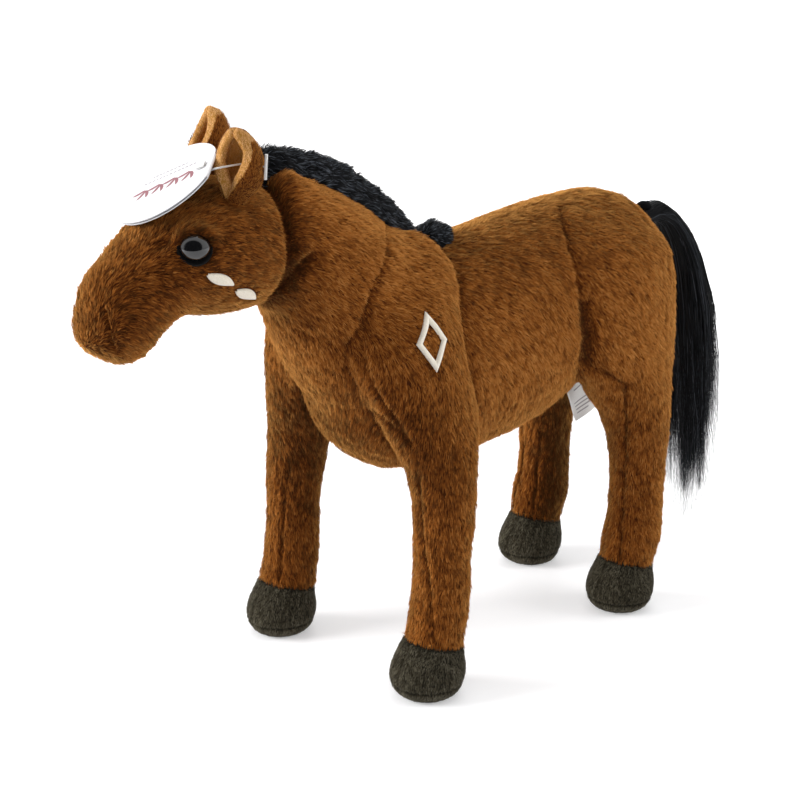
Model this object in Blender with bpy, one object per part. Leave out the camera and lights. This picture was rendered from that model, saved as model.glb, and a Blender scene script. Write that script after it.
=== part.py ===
"""Plush horse, standing: stuffed cloth forms, cloth hooves, brush mane, hair tail, tag and labels.

The horse faces -Y, its left side is +X and it stands on the plane Z = 0. Sizes are in metres.
Every stuffed piece is a run of oval sections, and each smaller piece is cut back from its larger
neighbours by the seam gap, so that the pieces seat on each other like sewn panels.
"""
from math import cos, pi, radians, sin, sqrt

import bmesh
import bpy
from mathutils import Matrix, Vector
from mathutils.bvhtree import BVHTree

# Clearances
SEAM_GAP = 0.0003
HOOK_GAP = 0.0006
CUT_OVERRUN = 0.004

# Stance
STANCE_LENGTH = 0.151
FORE_STANCE_WIDTH = 0.100
HIND_STANCE_WIDTH = 0.076
FORE_STEP = 0.0060
HIND_STEP = 0.0040

# Torso
BELLY_HEIGHT = 0.094
TORSO_LENGTH = 0.221
TORSO_WIDTH = 0.092
TORSO_DEPTH = 0.118
CHEST_ROUND = 0.044
RUMP_ROUND = 0.048
torso_setback_share = 0.083

# Neck: reach is forwards and rise is upwards from the point inside the shoulders
NECK_REACH = 0.100
NECK_RISE = 0.090
NECK_WIDTH = 0.077
NECK_ROUND = 0.016

# Head
HEAD_LENGTH = 0.092
HEAD_HEIGHT = 0.060
HEAD_WIDTH = 0.057
POLL_ROUND = 0.017
MUZZLE_ROUND = 0.019

# Legs
FORELEG_HEIGHT = 0.211
SHOULDER_LENGTH = 0.065
SHOULDER_THICKNESS = 0.040
SHOULDER_ROUND = 0.030
HINDLEG_HEIGHT = 0.208
HAUNCH_LENGTH = 0.102
HAUNCH_THICKNESS = 0.048
HAUNCH_ROUND = 0.026
SHIN_RADIUS = 0.0142

# Hooves
HOOF_RADIUS = 0.018
HOOF_HEIGHT = 0.0248
HOOF_SLANT = 0.0034
HOOF_TOP_SETBACK = 0.0042
SOLE_THICKNESS = 0.0048
SOLE_FLAT_RADIUS = 0.0118

# Ears
EAR_LENGTH = 0.0290
EAR_WIDTH = 0.0192
EAR_CLOTH = 0.0012
LEFT_EAR_OPENING_ANGLE = radians(13)
RIGHT_EAR_OPENING_ANGLE = radians(14)
LEFT_EAR_LEAN_ANGLE = radians(7)
RIGHT_EAR_LEAN_ANGLE = radians(-3)

# Mane and tail
MANE_HEIGHT = 0.0110
MANE_WIDTH = 0.0150
TUFT_RADIUS = 0.0078
TUFT_LENGTH = 0.0240
TUFT_ROUND = 0.0100
DOCK_RADIUS = 0.0048
DOCK_STUB_RADIUS = 0.0028
DOCK_SEAT_DEPTH = 0.0040
TAIL_LENGTH = 0.160
TAIL_REACH = 0.048
TAIL_WIDTH = 0.033
TAIL_THICKNESS = 0.025
TAIL_ROUND = 0.006
TAIL_TIP_ROUND = 0.020

# Eyes
EYE_RADIUS = 0.0067
EYE_HEIGHT = 0.0052
EYE_SUNK = 0.0012
SHANK_RADIUS = 0.0019
SHANK_LENGTH = 0.0085
WASHER_RADIUS = 0.0058
WASHER_THICKNESS = 0.0016
WASHER_DEPTH = 0.0026

# Hang tag and its pin
TAG_RADIUS = 0.0248
TAG_CARD = 0.0004
TAG_LEAF_GAP = 0.0006
TAG_HOLE_RADIUS = 0.0017
TAG_HOLE_INSET = 0.0065
TAG_REST_GAP = 0.0008
PIN_RADIUS = 0.0004
PIN_BAR_LENGTH = 0.0105
PIN_BAR_RADIUS = 0.00065
PIN_HEAD_WIDTH = 0.0036
PIN_HEAD_THICKNESS = 0.0006
EAR_HOLE_RADIUS = 0.0008
PIN_DIP = 0.0012
EAR_PIN_ROW = 3.75
EAR_PIN_ANGLE = radians(70)
TAG_PITCH_ANGLE = radians(35)
TAG_ROLL_ANGLE = radians(4)
TAG_TURN_ANGLE = radians(47)

# Sewn labels
LABEL_WIDTH = 0.019
LONG_LABEL_LENGTH = 0.030
SHORT_LABEL_LENGTH = 0.018
LABEL_CLOTH = 0.0004

# Embroidery
STITCH_HEIGHT = 0.0008
LOZENGE_HEIGHT = 0.026
LOZENGE_WIDTH = 0.017
LOZENGE_STROKE = 0.0026
LEAF_LENGTH = 0.014
LEAF_WIDTH = 0.0044

# Facets
FORM_SIDES = 28
LEG_SIDES = 22
SMALL_SIDES = 20
MANE_SIDES = 16
TAIL_SIDES = 18
TAG_SIDES = 48
PIN_SIDES = 8
BAR_SIDES = 10
BORE_SIDES = 12
TORSO_SPANS = 9
NECK_SPANS = 8
HEAD_SPANS = 9
LEG_SPANS = 12
HOOF_SPANS = 7
MANE_SPANS = 14
TUFT_SPANS = 3
TAIL_SPANS = 12
END_RINGS = 5
SAMPLES_PER_ROW = 12
SOLE_RINGS = 4
EAR_STEPS = 14
EAR_LEVELS = 11
BALL_RINGS = 8
EYE_RINGS = 6
LEAF_STEPS = 7
PIN_STEPS = 5
SMOOTH_ANGLE = radians(50)

# Colours: base colour, roughness, metallic
MATERIALS = {
    "brown_plush": ((0.260, 0.095, 0.030), 0.95, 0.0),
    "hoof_plush": ((0.045, 0.040, 0.030), 0.95, 0.0),
    "ear_lining": ((0.420, 0.220, 0.075), 0.90, 0.0),
    "black_pile": ((0.010, 0.011, 0.014), 0.75, 0.0),
    "eye_plastic": ((0.006, 0.006, 0.007), 0.10, 0.0),
    "washer_plastic": ((0.700, 0.700, 0.680), 0.45, 0.0),
    "tag_card": ((0.860, 0.860, 0.870), 0.45, 0.0),
    "pin_plastic": ((0.820, 0.820, 0.820), 0.35, 0.0),
    "label_satin": ((0.780, 0.770, 0.750), 0.50, 0.0),
    "stitch_cream": ((0.780, 0.700, 0.560), 0.60, 0.0),
}

# Section tables. A torso row is along, top, bottom, half width. Top and bottom are shares of the
# depth above the belly line.
torso_row_shares = [
    (0.00, 0.62, 0.03, 0.86),
    (0.15, 0.80, 0.00, 0.95),
    (0.32, 0.90, 0.005, 0.99),
    (0.50, 0.96, 0.050, 1.00),
    (0.67, 1.005, 0.185, 0.97),
    (0.82, 1.01, 0.295, 0.88),
    (0.92, 0.95, 0.36, 0.81),
    (1.00, 0.87, 0.40, 0.74),
]
# Where the neck springs from, as shares of the torso's length and depth
neck_root_shares = (0.31, 0.475)
# A neck or head row is the crest's reach and rise, the throat's reach and rise, half width
neck_row_shares = [
    (-0.10, 0.42, 0.45, -0.43, 1.00),
    (0.13, 0.545, 0.66, -0.25, 1.00),
    (0.33, 0.700, 0.80, -0.03, 0.95),
    (0.56, 0.870, 0.89, 0.155, 0.84),
    (0.80, 1.000, 0.95, 0.325, 0.72),
    (0.98, 1.020, 1.02, 0.378, 0.66),
    (1.10, 0.98, 1.12, 0.42, 0.60),
]
head_root_shares = (1.00, 0.689)
head_row_shares = [
    (-0.085, 0.40, -0.100, -0.32, 0.82),
    (0.090, 0.480, 0.060, -0.43, 0.95),
    (0.244, 0.500, 0.178, -0.475, 1.00),
    (0.422, 0.430, 0.333, -0.465, 1.00),
    (0.578, 0.305, 0.456, -0.440, 0.92),
    (0.700, 0.185, 0.539, -0.495, 0.80),
    (0.794, 0.060, 0.611, -0.605, 0.72),
    (0.872, -0.050, 0.700, -0.700, 0.69),
    (0.935, -0.190, 0.811, -0.735, 0.67),
    (0.985, -0.310, 0.935, -0.700, 0.63),
]
# A leg row is height, sideways place, half length, half thickness, and how far it lies behind
# the hoof. The first is a share of the leg's height, the second of half the stance width, the
# rest of the shoulder's or haunch's own sizes.
foreleg_row_shares = [
    (1.000, 0.20, 0.62, 0.50, 0.400),
    (0.911, 0.38, 0.84, 0.78, 0.265),
    (0.818, 0.53, 0.91, 0.98, 0.160),
    (0.701, 0.63, 0.91, 1.00, 0.165),
    (0.584, 0.79, 0.74, 0.90, 0.190),
    (0.491, 0.93, 0.53, 0.790, 0.180),
    (0.397, 0.990, 0.465, 0.750, 0.155),
]
hindleg_row_shares = [
    (1.000, 0.42, 0.56, 0.60, -0.060),
    (0.925, 0.57, 0.84, 0.86, -0.090),
    (0.835, 0.67, 0.95, 0.98, -0.115),
    (0.735, 0.73, 0.94, 1.00, -0.105),
    (0.655, 0.805, 0.765, 0.94, -0.045),
    (0.590, 0.87, 0.56, 0.855, 0.015),
    (0.515, 0.935, 0.41, 0.76, 0.070),
    (0.435, 0.985, 0.33, 0.68, 0.095),
]
# A shin row is height as a share of the shin, radius as a share of the shin's, and setback as a
# share of the radius
fore_shin_row_shares = [(0.70, 0.965, 0.62), (0.34, 1.02, 0.55)]
hind_shin_row_shares = [(0.72, 1.03, 0.68), (0.42, 1.03, 0.66), (0.20, 1.11, 0.52)]
hoof_row_shares = [(0.00, 0.93), (0.10, 0.975), (0.30, 1.00), (0.55, 0.96), (0.80, 0.865)]
# An ear row is height, arc radius, and the half angle of the fold as a share of a half turn
ear_row_shares = [
    (-0.20, 0.44, 0.95), (0.00, 0.56, 0.94), (0.18, 0.78, 0.86), (0.38, 0.98, 0.72),
    (0.58, 1.02, 0.60), (0.76, 0.93, 0.51), (0.90, 0.73, 0.45), (1.00, 0.47, 0.38),
]
# For each side: sideways place in shares of the head's width, reach in shares of its length, length,
# and how far the tip bends forward. The two ears are not sewn quite alike.
ear_place_shares = {1: (0.315, 0.225, 0.95, 0.16), -1: (0.310, 0.160, 1.08, -0.08)}
# A mane row is how far along the neck's crest, height and width
mane_row_shares = [
    (0.93, 0.85, 0.80), (0.80, 1.0, 0.95), (0.56, 1.12, 1.0), (0.36, 1.05, 1.0), (0.165, 0.60, 0.85),
]
tuft_place_share = 0.298
tuft_lift_share = 0.25
# A tail row is drop, reach, half thickness, half width
tail_row_shares = [
    (0.00, 0.10, 0.40, 0.42), (0.065, 0.31, 0.56, 0.60), (0.17, 0.53, 0.72, 0.78),
    (0.33, 0.72, 0.88, 0.92), (0.52, 0.86, 0.96, 1.00), (0.71, 0.955, 1.00, 1.00),
    (0.92, 1.00, 0.88, 0.90), (1.00, 1.00, 0.72, 0.75),
]
dock_place_share = 0.845
# Reach in shares of the head's length, rise in shares of its height
eye_place_shares = (0.503, 0.118)
tag_place_shares = (0.182, 0.358)
tag_fold_share = 0.95
pin_inside_share = 0.20
pin_mouth_share = 0.30
cheek_leaf_shares = [(0.40, -0.12, 0.86), (0.24, -0.27, 0.86)]
shoulder_mark_shares = (0.125, 0.60, 0.79)
label_place_share = 0.740


def clear_scene():
    for thing in list(bpy.data.objects):
        bpy.data.objects.remove(thing, do_unlink=True)


def material(name):
    """Return the named material, made once from the table."""
    found = bpy.data.materials.get(name)
    if found:
        return found
    colour, roughness, metallic = MATERIALS[name]
    made = bpy.data.materials.new(name)
    made.use_nodes = True
    shader = made.node_tree.nodes["Principled BSDF"]
    shader.inputs["Base Color"].default_value = (*colour, 1)
    shader.inputs["Roughness"].default_value = roughness
    shader.inputs["Metallic"].default_value = metallic
    made.diffuse_color = (*colour, 1)
    return made


def blend_rows(rows, place):
    """Read a table of equal rows of vectors at a fractional row number, on a smooth curve."""
    last = len(rows) - 1
    index = min(max(int(place), 0), last - 1)
    share = place - index
    before = rows[max(index - 1, 0)]
    here = rows[index]
    there = rows[index + 1]
    after = rows[min(index + 2, last)]
    blended = []
    for a, b, c, d in zip(before, here, there, after):
        slope_b = (c - a) / 2
        slope_c = (d - b) / 2
        cube = (b - c) * 2 + slope_b + slope_c
        square = (c - b) * 3 - slope_b * 2 - slope_c
        blended.append(((cube * share + square) * share + slope_b) * share + b)
    return blended


def rounding(distance, radius):
    """How full a stuffed end is at a distance from its tip: a quarter oval."""
    share = min(distance / radius, 1)
    return sqrt(1 - (1 - share) ** 2)


class Form:
    """A stuffed form: rows of (centre, up, side) strung on a smooth line, with rounded ends."""

    def __init__(self, rows, start_round, end_round, spans, sides):
        self.rows = rows
        self.start_round = start_round
        self.end_round = end_round
        self.spans = spans
        self.sides = sides
        self.samples = self.measure()

    def measure(self):
        """Walk the centre line once, so that rings can be spaced by real distance."""
        steps = (len(self.rows) - 1) * SAMPLES_PER_ROW
        samples = [(0, 0)]
        travelled = 0
        previous = self.rows[0][0]
        for step in range(1, steps + 1):
            place = (len(self.rows) - 1) * step / steps
            centre = blend_rows(self.rows, place)[0]
            travelled += (centre - previous).length
            samples.append((travelled, place))
            previous = centre
        return samples

    def place_at(self, distance):
        for (low, low_place), (high, high_place) in zip(self.samples, self.samples[1:]):
            if distance <= high:
                return low_place + (high_place - low_place) * (distance - low) / (high - low)
        return self.samples[-1][1]

    def stations(self):
        """Distances of the rings: closer together where an end rounds off."""
        length = self.samples[-1][0]
        steps = [1 - cos(pi / 2 * k / END_RINGS) for k in range(1, END_RINGS + 1)]
        start = [self.start_round * step for step in steps]
        end = [length - self.end_round * step for step in reversed(steps)]
        if not self.start_round:
            start = [0]
        if not self.end_round:
            end = [length]
        between = end[0] - start[-1]
        middle = [start[-1] + between * k / self.spans for k in range(1, self.spans)]
        return start + middle + end

    def ring(self, distance):
        length = self.samples[-1][0]
        centre, up, side = blend_rows(self.rows, self.place_at(distance))
        fullness = 1
        if self.start_round:
            fullness *= rounding(distance, self.start_round)
        if self.end_round:
            fullness *= rounding(length - distance, self.end_round)
        angles = [2 * pi * k / self.sides for k in range(self.sides)]
        return [centre + (side * cos(a) + up * sin(a)) * fullness for a in angles]

    def mesh(self):
        """Build the closed skin in a new bmesh."""
        built = bmesh.new()
        rings = [[built.verts.new(p) for p in self.ring(d)] for d in self.stations()]
        for lower, upper in zip(rings, rings[1:]):
            for k in range(self.sides):
                after = (k + 1) % self.sides
                built.faces.new((lower[k], lower[after], upper[after], upper[k]))
        close_end(built, rings[0], self.rows[0][0], self.start_round)
        close_end(built, rings[-1], self.rows[-1][0], self.end_round)
        face_outwards(built)
        return built


def close_end(built, ring, tip, is_round):
    """Close a form with a fan to its tip where it is round, or with one flat face."""
    if not is_round:
        built.faces.new(ring)
        return
    pole = built.verts.new(tip)
    for k, vertex in enumerate(ring):
        built.faces.new((vertex, ring[(k + 1) % len(ring)], pole))


def face_outwards(built):
    bmesh.ops.recalc_face_normals(built, faces=built.faces)
    if built.calc_volume(signed=True) < 0:
        bmesh.ops.reverse_faces(built, faces=built.faces)


def add_object(name, built, material_name=None):
    """Turn a bmesh into an object; without a material it is a hidden cutter."""
    mesh = bpy.data.meshes.new(name)
    built.to_mesh(mesh)
    built.free()
    thing = bpy.data.objects.new(name, mesh)
    bpy.context.collection.objects.link(thing)
    if material_name:
        mesh.materials.append(material(material_name))
        mesh.shade_smooth()
        mesh.set_sharp_from_angle(angle=SMOOTH_ANGLE)
    else:
        thing.hide_render = True
        thing.display_type = "WIRE"
    return thing


def grown(built, distance):
    """Move every vertex of a bmesh outwards along its normal."""
    built.normal_update()
    moves = [(vertex, vertex.normal * distance) for vertex in built.verts]
    for vertex, move in moves:
        vertex.co += move
    return built


def form_cutter(name, form, distance=SEAM_GAP):
    return add_object(name, grown(form.mesh(), distance))


def boolean(thing, cutter, operation="DIFFERENCE"):
    modifier = thing.modifiers.new(f"{operation.lower()} {cutter.name}", "BOOLEAN")
    modifier.operation = operation
    modifier.solver = "EXACT"
    modifier.object = cutter


def surface_tree(form):
    built = form.mesh()
    tree = BVHTree.FromBMesh(built)
    built.free()
    return tree


def cast(tree, start, direction):
    """The point and outward normal where a ray from outside meets a form."""
    point, normal, _, _ = tree.ray_cast(start, direction)
    return point, normal


def turned(profile, axis, origin, sides=SMALL_SIDES):
    """Revolve (radius, height) points about an axis. A profile off the axis closes on itself."""
    built = bmesh.new()
    turn = axis.normalized().to_track_quat("Z", "Y").to_matrix().to_4x4()
    is_solid = profile[0][0] == 0
    rings = []
    for radius, height in profile[1:-1] if is_solid else profile:
        angles = [2 * pi * k / sides for k in range(sides)]
        rings.append([built.verts.new((radius * cos(a), radius * sin(a), height)) for a in angles])
    pairs = list(zip(rings, rings[1:]))
    if not is_solid:
        pairs.append((rings[-1], rings[0]))
    for lower, upper in pairs:
        for k in range(sides):
            after = (k + 1) % sides
            built.faces.new((lower[k], lower[after], upper[after], upper[k]))
    if is_solid:
        for ring, (_, height) in ((rings[0], profile[0]), (rings[-1], profile[-1])):
            close_end(built, ring, Vector((0, 0, height)), True)
    face_outwards(built)
    built.transform(Matrix.Translation(origin) @ turn)
    return built


def rod(start, end, radius, sides=SMALL_SIDES):
    """A plain round bar between two points."""
    length = (end - start).length
    profile = [(0, 0), (radius, 0), (radius, length), (0, length)]
    return turned(profile, end - start, start, sides)


# Torso

def torso_form():
    front = torso_front()
    rows = []
    for along, top, bottom, width in torso_row_shares:
        high = BELLY_HEIGHT + TORSO_DEPTH * top
        low = BELLY_HEIGHT + TORSO_DEPTH * bottom
        centre = Vector((0, front + TORSO_LENGTH * along, (high + low) / 2))
        rows.append((centre, Vector((0, 0, (high - low) / 2)), Vector((TORSO_WIDTH / 2 * width, 0, 0))))
    return Form(rows, CHEST_ROUND, RUMP_ROUND, TORSO_SPANS, FORM_SIDES)


def torso_front():
    return TORSO_LENGTH * (torso_setback_share - 1 / 2)


# Neck and head, both described by a crest line and a throat line

def crest_rows(table, root, reach, rise, width):
    rows = []
    for crest_reach, crest_rise, throat_reach, throat_rise, half in table:
        crest = root + Vector((0, -reach * crest_reach, rise * crest_rise))
        throat = root + Vector((0, -reach * throat_reach, rise * throat_rise))
        rows.append(((crest + throat) / 2, (crest - throat) / 2, Vector((width / 2 * half, 0, 0))))
    return rows


def neck_root():
    along, up = neck_root_shares
    return Vector((0, torso_front() + TORSO_LENGTH * along, BELLY_HEIGHT + TORSO_DEPTH * up))


def neck_form():
    rows = crest_rows(neck_row_shares, neck_root(), NECK_REACH, NECK_RISE, NECK_WIDTH)
    return Form(rows, NECK_ROUND, NECK_ROUND, NECK_SPANS, FORM_SIDES)


def head_root():
    reach, rise = head_root_shares
    return neck_root() + Vector((0, -NECK_REACH * reach, NECK_RISE * rise))


def head_form():
    rows = crest_rows(head_row_shares, head_root(), HEAD_LENGTH, HEAD_HEIGHT, HEAD_WIDTH)
    return Form(rows, POLL_ROUND, MUZZLE_ROUND, HEAD_SPANS, FORM_SIDES)


def head_point(reach, rise):
    """A point of the head's middle plane, in shares of the head's length and height."""
    return head_root() + Vector((0, -HEAD_LENGTH * reach, HEAD_HEIGHT * rise))


# Legs, hooves and soles

def hoof_centre(end, side):
    """Where a hoof stands. End is -1 at the fore legs and 1 at the hind legs, side 1 is left."""
    width = FORE_STANCE_WIDTH if end < 0 else HIND_STANCE_WIDTH
    step = FORE_STEP if end < 0 else -HIND_STEP
    return Vector((side * width / 2, end * STANCE_LENGTH / 2 + side * step, 0))


def hoof_top(end, side):
    """Centre and half axes of the slanting rim where leg and hoof are sewn together."""
    centre = hoof_centre(end, side) + Vector((0, HOOF_TOP_SETBACK, HOOF_HEIGHT))
    return centre, Vector((0, -SHIN_RADIUS, HOOF_SLANT)), Vector((side * SHIN_RADIUS, 0, 0))


def leg_form(end, side):
    if end < 0:
        table, shins = foreleg_row_shares, fore_shin_row_shares
        height, length, thickness = FORELEG_HEIGHT, SHOULDER_LENGTH, SHOULDER_THICKNESS
        width, top_round = FORE_STANCE_WIDTH, SHOULDER_ROUND
    else:
        table, shins = hindleg_row_shares, hind_shin_row_shares
        height, length, thickness = HINDLEG_HEIGHT, HAUNCH_LENGTH, HAUNCH_THICKNESS
        width, top_round = HIND_STANCE_WIDTH, HAUNCH_ROUND
    hoof = hoof_centre(end, side)
    rim, rim_up, rim_side = hoof_top(end, side)
    squared_y = end * STANCE_LENGTH / 2
    rows = []
    for up, out, half, thick, back in table:
        lean = min(2 * (1 - up), 1)
        y = squared_y * (1 - lean) + hoof.y * lean + length * back
        centre = Vector((side * width / 2 * out, y, height * up))
        rows.append((centre, Vector((0, -length / 2 * half, 0)), Vector((side * thickness / 2 * thick, 0, 0))))
    knee = height * table[-1][0]
    for up, radius, back in shins:
        centre = Vector((rim.x, hoof.y + SHIN_RADIUS * back, rim.z + (knee - rim.z) * up))
        rows.append((centre, Vector((0, -SHIN_RADIUS * radius, 0)), Vector((side * SHIN_RADIUS * radius, 0, 0))))
    rows.append((rim + Vector((0, 0, SEAM_GAP)), rim_up, rim_side))
    return Form(rows, top_round, 0, LEG_SPANS, LEG_SIDES)


def hoof_form(end, side):
    centre = hoof_centre(end, side)
    rim, rim_up, rim_side = hoof_top(end, side)
    base = SOLE_THICKNESS + SEAM_GAP
    rows = []
    for up, share in hoof_row_shares:
        height = base + (HOOF_HEIGHT - base) * up
        radius = HOOF_RADIUS * share
        middle = centre + Vector((0, HOOF_TOP_SETBACK * up ** 2, height))
        rows.append((middle, Vector((0, -radius, HOOF_SLANT * up ** 2)), Vector((side * radius, 0, 0))))
    rows.append((rim, rim_up, rim_side))
    return Form(rows, 0, 0, HOOF_SPANS, LEG_SIDES)


def sole_mesh(end, side):
    """A flat cloth sole whose edge swells out to the hoof's lower seam."""
    seam_radius = HOOF_RADIUS * hoof_row_shares[0][1]
    swell = seam_radius - SOLE_FLAT_RADIUS
    profile = [(0, 0), (SOLE_FLAT_RADIUS, 0)]
    for k in range(1, SOLE_RINGS + 1):
        angle = pi / 2 * k / SOLE_RINGS
        radius = SOLE_FLAT_RADIUS + swell * sin(angle)
        profile.append((radius, SOLE_THICKNESS * (1 - cos(angle))))
    profile.append((0, SOLE_THICKNESS))
    return turned(profile, Vector((0, 0, 1)), hoof_centre(end, side), LEG_SIDES)


# Ears

def ear_axis(side, tree):
    """Root point on the head, the ear's up, forward and side directions, its length and its bend."""
    out, reach, tall, bend = ear_place_shares[side]
    opening = LEFT_EAR_OPENING_ANGLE if side > 0 else RIGHT_EAR_OPENING_ANGLE
    lean = LEFT_EAR_LEAN_ANGLE if side > 0 else RIGHT_EAR_LEAN_ANGLE
    start = head_point(reach, 2)
    start.x = side * HEAD_WIDTH * out
    root, _ = cast(tree, start, Vector((0, 0, -1)))
    forward = Vector((side * sin(opening), -cos(opening), 0))
    up = Vector((side * sin(lean), 0, cos(lean)))
    forward = (forward - up * forward.dot(up)).normalized()
    return root, up, forward, up.cross(forward), EAR_LENGTH * tall, EAR_LENGTH * bend


def ear_mesh(ear, outset, thickness):
    """A folded leaf of cloth: arcs whose radius and spread change up the ear."""
    root, up, forward, across, length, bend = ear
    built = bmesh.new()
    skins = []
    for inset in (0, thickness):
        skin = []
        for level in range(EAR_LEVELS + 1):
            place = (len(ear_row_shares) - 1) * level / EAR_LEVELS
            height, radius, spread = blend_rows(ear_row_shares, place)
            centre = root + up * (length * height) + forward * (bend * max(height, 0) ** 2)
            reach = EAR_WIDTH / 2 * radius - outset - inset
            row = []
            for step in range(EAR_STEPS + 1):
                angle = pi * spread * (2 * step / EAR_STEPS - 1)
                row.append(built.verts.new(centre - forward * (reach * cos(angle)) + across * (reach * sin(angle))))
            skin.append(row)
        skins.append(skin)
    for skin in skins:
        for low, high in zip(skin, skin[1:]):
            for k in range(EAR_STEPS):
                built.faces.new((low[k], low[k + 1], high[k + 1], high[k]))
    outer, inner = skins
    edge_out = outer[0] + [row[-1] for row in outer[1:]] + outer[-1][-2::-1] + [row[0] for row in outer[-2:0:-1]]
    edge_in = inner[0] + [row[-1] for row in inner[1:]] + inner[-1][-2::-1] + [row[0] for row in inner[-2:0:-1]]
    for k in range(len(edge_out)):
        after = (k + 1) % len(edge_out)
        built.faces.new((edge_out[k], edge_out[after], edge_in[after], edge_in[k]))
    face_outwards(built)
    return built


# Mane

def crest_point(place):
    """A point of the neck's crest, read at a fractional row of the neck's table."""
    rows = crest_rows(neck_row_shares, neck_root(), NECK_REACH, NECK_RISE, NECK_WIDTH)
    centre, up, _ = blend_rows(rows, place)
    return centre + up


def crest_lift(place, step):
    """The direction square to the crest line, in the middle plane."""
    last = len(neck_row_shares) - 1
    ahead = crest_point(min(place + step, last))
    behind = crest_point(max(place - step, 0))
    run = (ahead - behind).normalized()
    return Vector((0, run.z, -run.y))


def mane_form():
    last = len(neck_row_shares) - 1
    rows = []
    for along, tall, wide in mane_row_shares:
        lift = crest_lift(last * along, 1 / 4)
        half_width = Vector((MANE_WIDTH / 2 * wide, 0, 0))
        rows.append((crest_point(last * along), lift * (MANE_HEIGHT * tall), half_width))
    return Form(rows, MANE_WIDTH / 2, MANE_WIDTH / 2, MANE_SPANS, MANE_SIDES)


def tuft_form(torso_tree):
    """The gathered knot of pile that ends the mane at the withers."""
    y = torso_front() + TORSO_LENGTH * tuft_place_share
    above = Vector((0, y, BELLY_HEIGHT + TORSO_DEPTH * 2))
    seat, lift = cast(torso_tree, above, Vector((0, 0, -1)))
    centre = seat + lift * (TUFT_RADIUS * tuft_lift_share)
    along = Vector((0, lift.z, -lift.y))
    rows = []
    for reach in (-1, 0, 1):
        middle = centre + along * (TUFT_LENGTH / 2 * reach)
        rows.append((middle, lift * TUFT_RADIUS, Vector((TUFT_RADIUS, 0, 0))))
    return Form(rows, TUFT_ROUND, TUFT_ROUND, TUFT_SPANS, MANE_SIDES)


# Tail

def dock_centre(torso_tree):
    """Middle of the tail's bound root, resting on the rump."""
    start = Vector((0, TORSO_LENGTH, BELLY_HEIGHT + TORSO_DEPTH * dock_place_share))
    seat, normal = cast(torso_tree, start, Vector((0, -1, 0)))
    normal.x = 0
    return seat + normal.normalized() * (DOCK_RADIUS + HOOK_GAP)


def dock_stub(centre, extra):
    """The stub that roots the dock in the rump; it runs along the sway axis."""
    end = centre + Vector((0, -DOCK_RADIUS - DOCK_SEAT_DEPTH - extra, 0))
    return rod(end, centre, DOCK_STUB_RADIUS + extra)


def ball(centre, radius):
    angles = [pi * k / BALL_RINGS for k in range(BALL_RINGS + 1)]
    profile = [(radius * sin(a), -radius * cos(a)) for a in angles]
    return turned(profile, Vector((0, 0, 1)), centre)


def tail_form(dock):
    points = []
    for drop, reach, _, _ in tail_row_shares:
        points.append(dock + Vector((0, TAIL_REACH * reach, -TAIL_LENGTH * drop)))
    rows = []
    for k, (_, _, thick, wide) in enumerate(tail_row_shares):
        run = (points[min(k + 1, len(points) - 1)] - points[max(k - 1, 0)]).normalized()
        up = Vector((0, run.z, -run.y)) * (TAIL_THICKNESS / 2 * thick)
        rows.append((points[k], up, Vector((TAIL_WIDTH / 2 * wide, 0, 0))))
    return Form(rows, TAIL_ROUND, TAIL_TIP_ROUND, TAIL_SPANS, TAIL_SIDES)


# Eyes

def eye_seat(side, head_tree):
    """Point and outward direction where an eye sits on the side of the head."""
    reach, rise = eye_place_shares
    start = head_point(reach, rise) + Vector((side * HEAD_WIDTH, 0, 0))
    return cast(head_tree, start, Vector((-side, 0, 0)))


def eye_mesh(seat, normal):
    """A domed button with its shank."""
    arc = [pi / 2 * k / EYE_RINGS for k in range(EYE_RINGS + 1)]
    profile = [(0, -SHANK_LENGTH), (SHANK_RADIUS, -SHANK_LENGTH), (SHANK_RADIUS, -EYE_SUNK)]
    profile += [(EYE_RADIUS * cos(a), EYE_HEIGHT * sin(a) - EYE_SUNK) for a in arc[:-1]]
    profile.append((0, EYE_HEIGHT - EYE_SUNK))
    return turned(profile, normal, seat)


def eye_socket(seat, normal):
    """The recess, the shank's hole and the washer's pocket, as one cutter."""
    bottom = -SHANK_LENGTH - SEAM_GAP
    floor = -EYE_SUNK - SEAM_GAP
    shank = SHANK_RADIUS + SEAM_GAP
    rim = EYE_RADIUS + SEAM_GAP
    pocket = WASHER_RADIUS + SEAM_GAP
    pocket_top = -EYE_SUNK - WASHER_DEPTH + SEAM_GAP
    pocket_floor = -EYE_SUNK - WASHER_DEPTH - WASHER_THICKNESS - SEAM_GAP
    profile = [(0, bottom), (shank, bottom), (shank, pocket_floor), (pocket, pocket_floor)]
    profile += [(pocket, pocket_top), (shank, pocket_top), (shank, floor), (rim, floor)]
    profile += [(rim, CUT_OVERRUN), (0, CUT_OVERRUN)]
    return turned(profile, normal, seat)


def washer_mesh(seat, normal):
    """The lock washer pressed on the shank inside the head."""
    top = -EYE_SUNK - WASHER_DEPTH
    bottom = top - WASHER_THICKNESS
    bore = SHANK_RADIUS + SEAM_GAP
    profile = [(bore, bottom), (WASHER_RADIUS, bottom), (WASHER_RADIUS, top), (bore, top)]
    return turned(profile, normal, seat)


# Hang tag and pin

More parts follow.
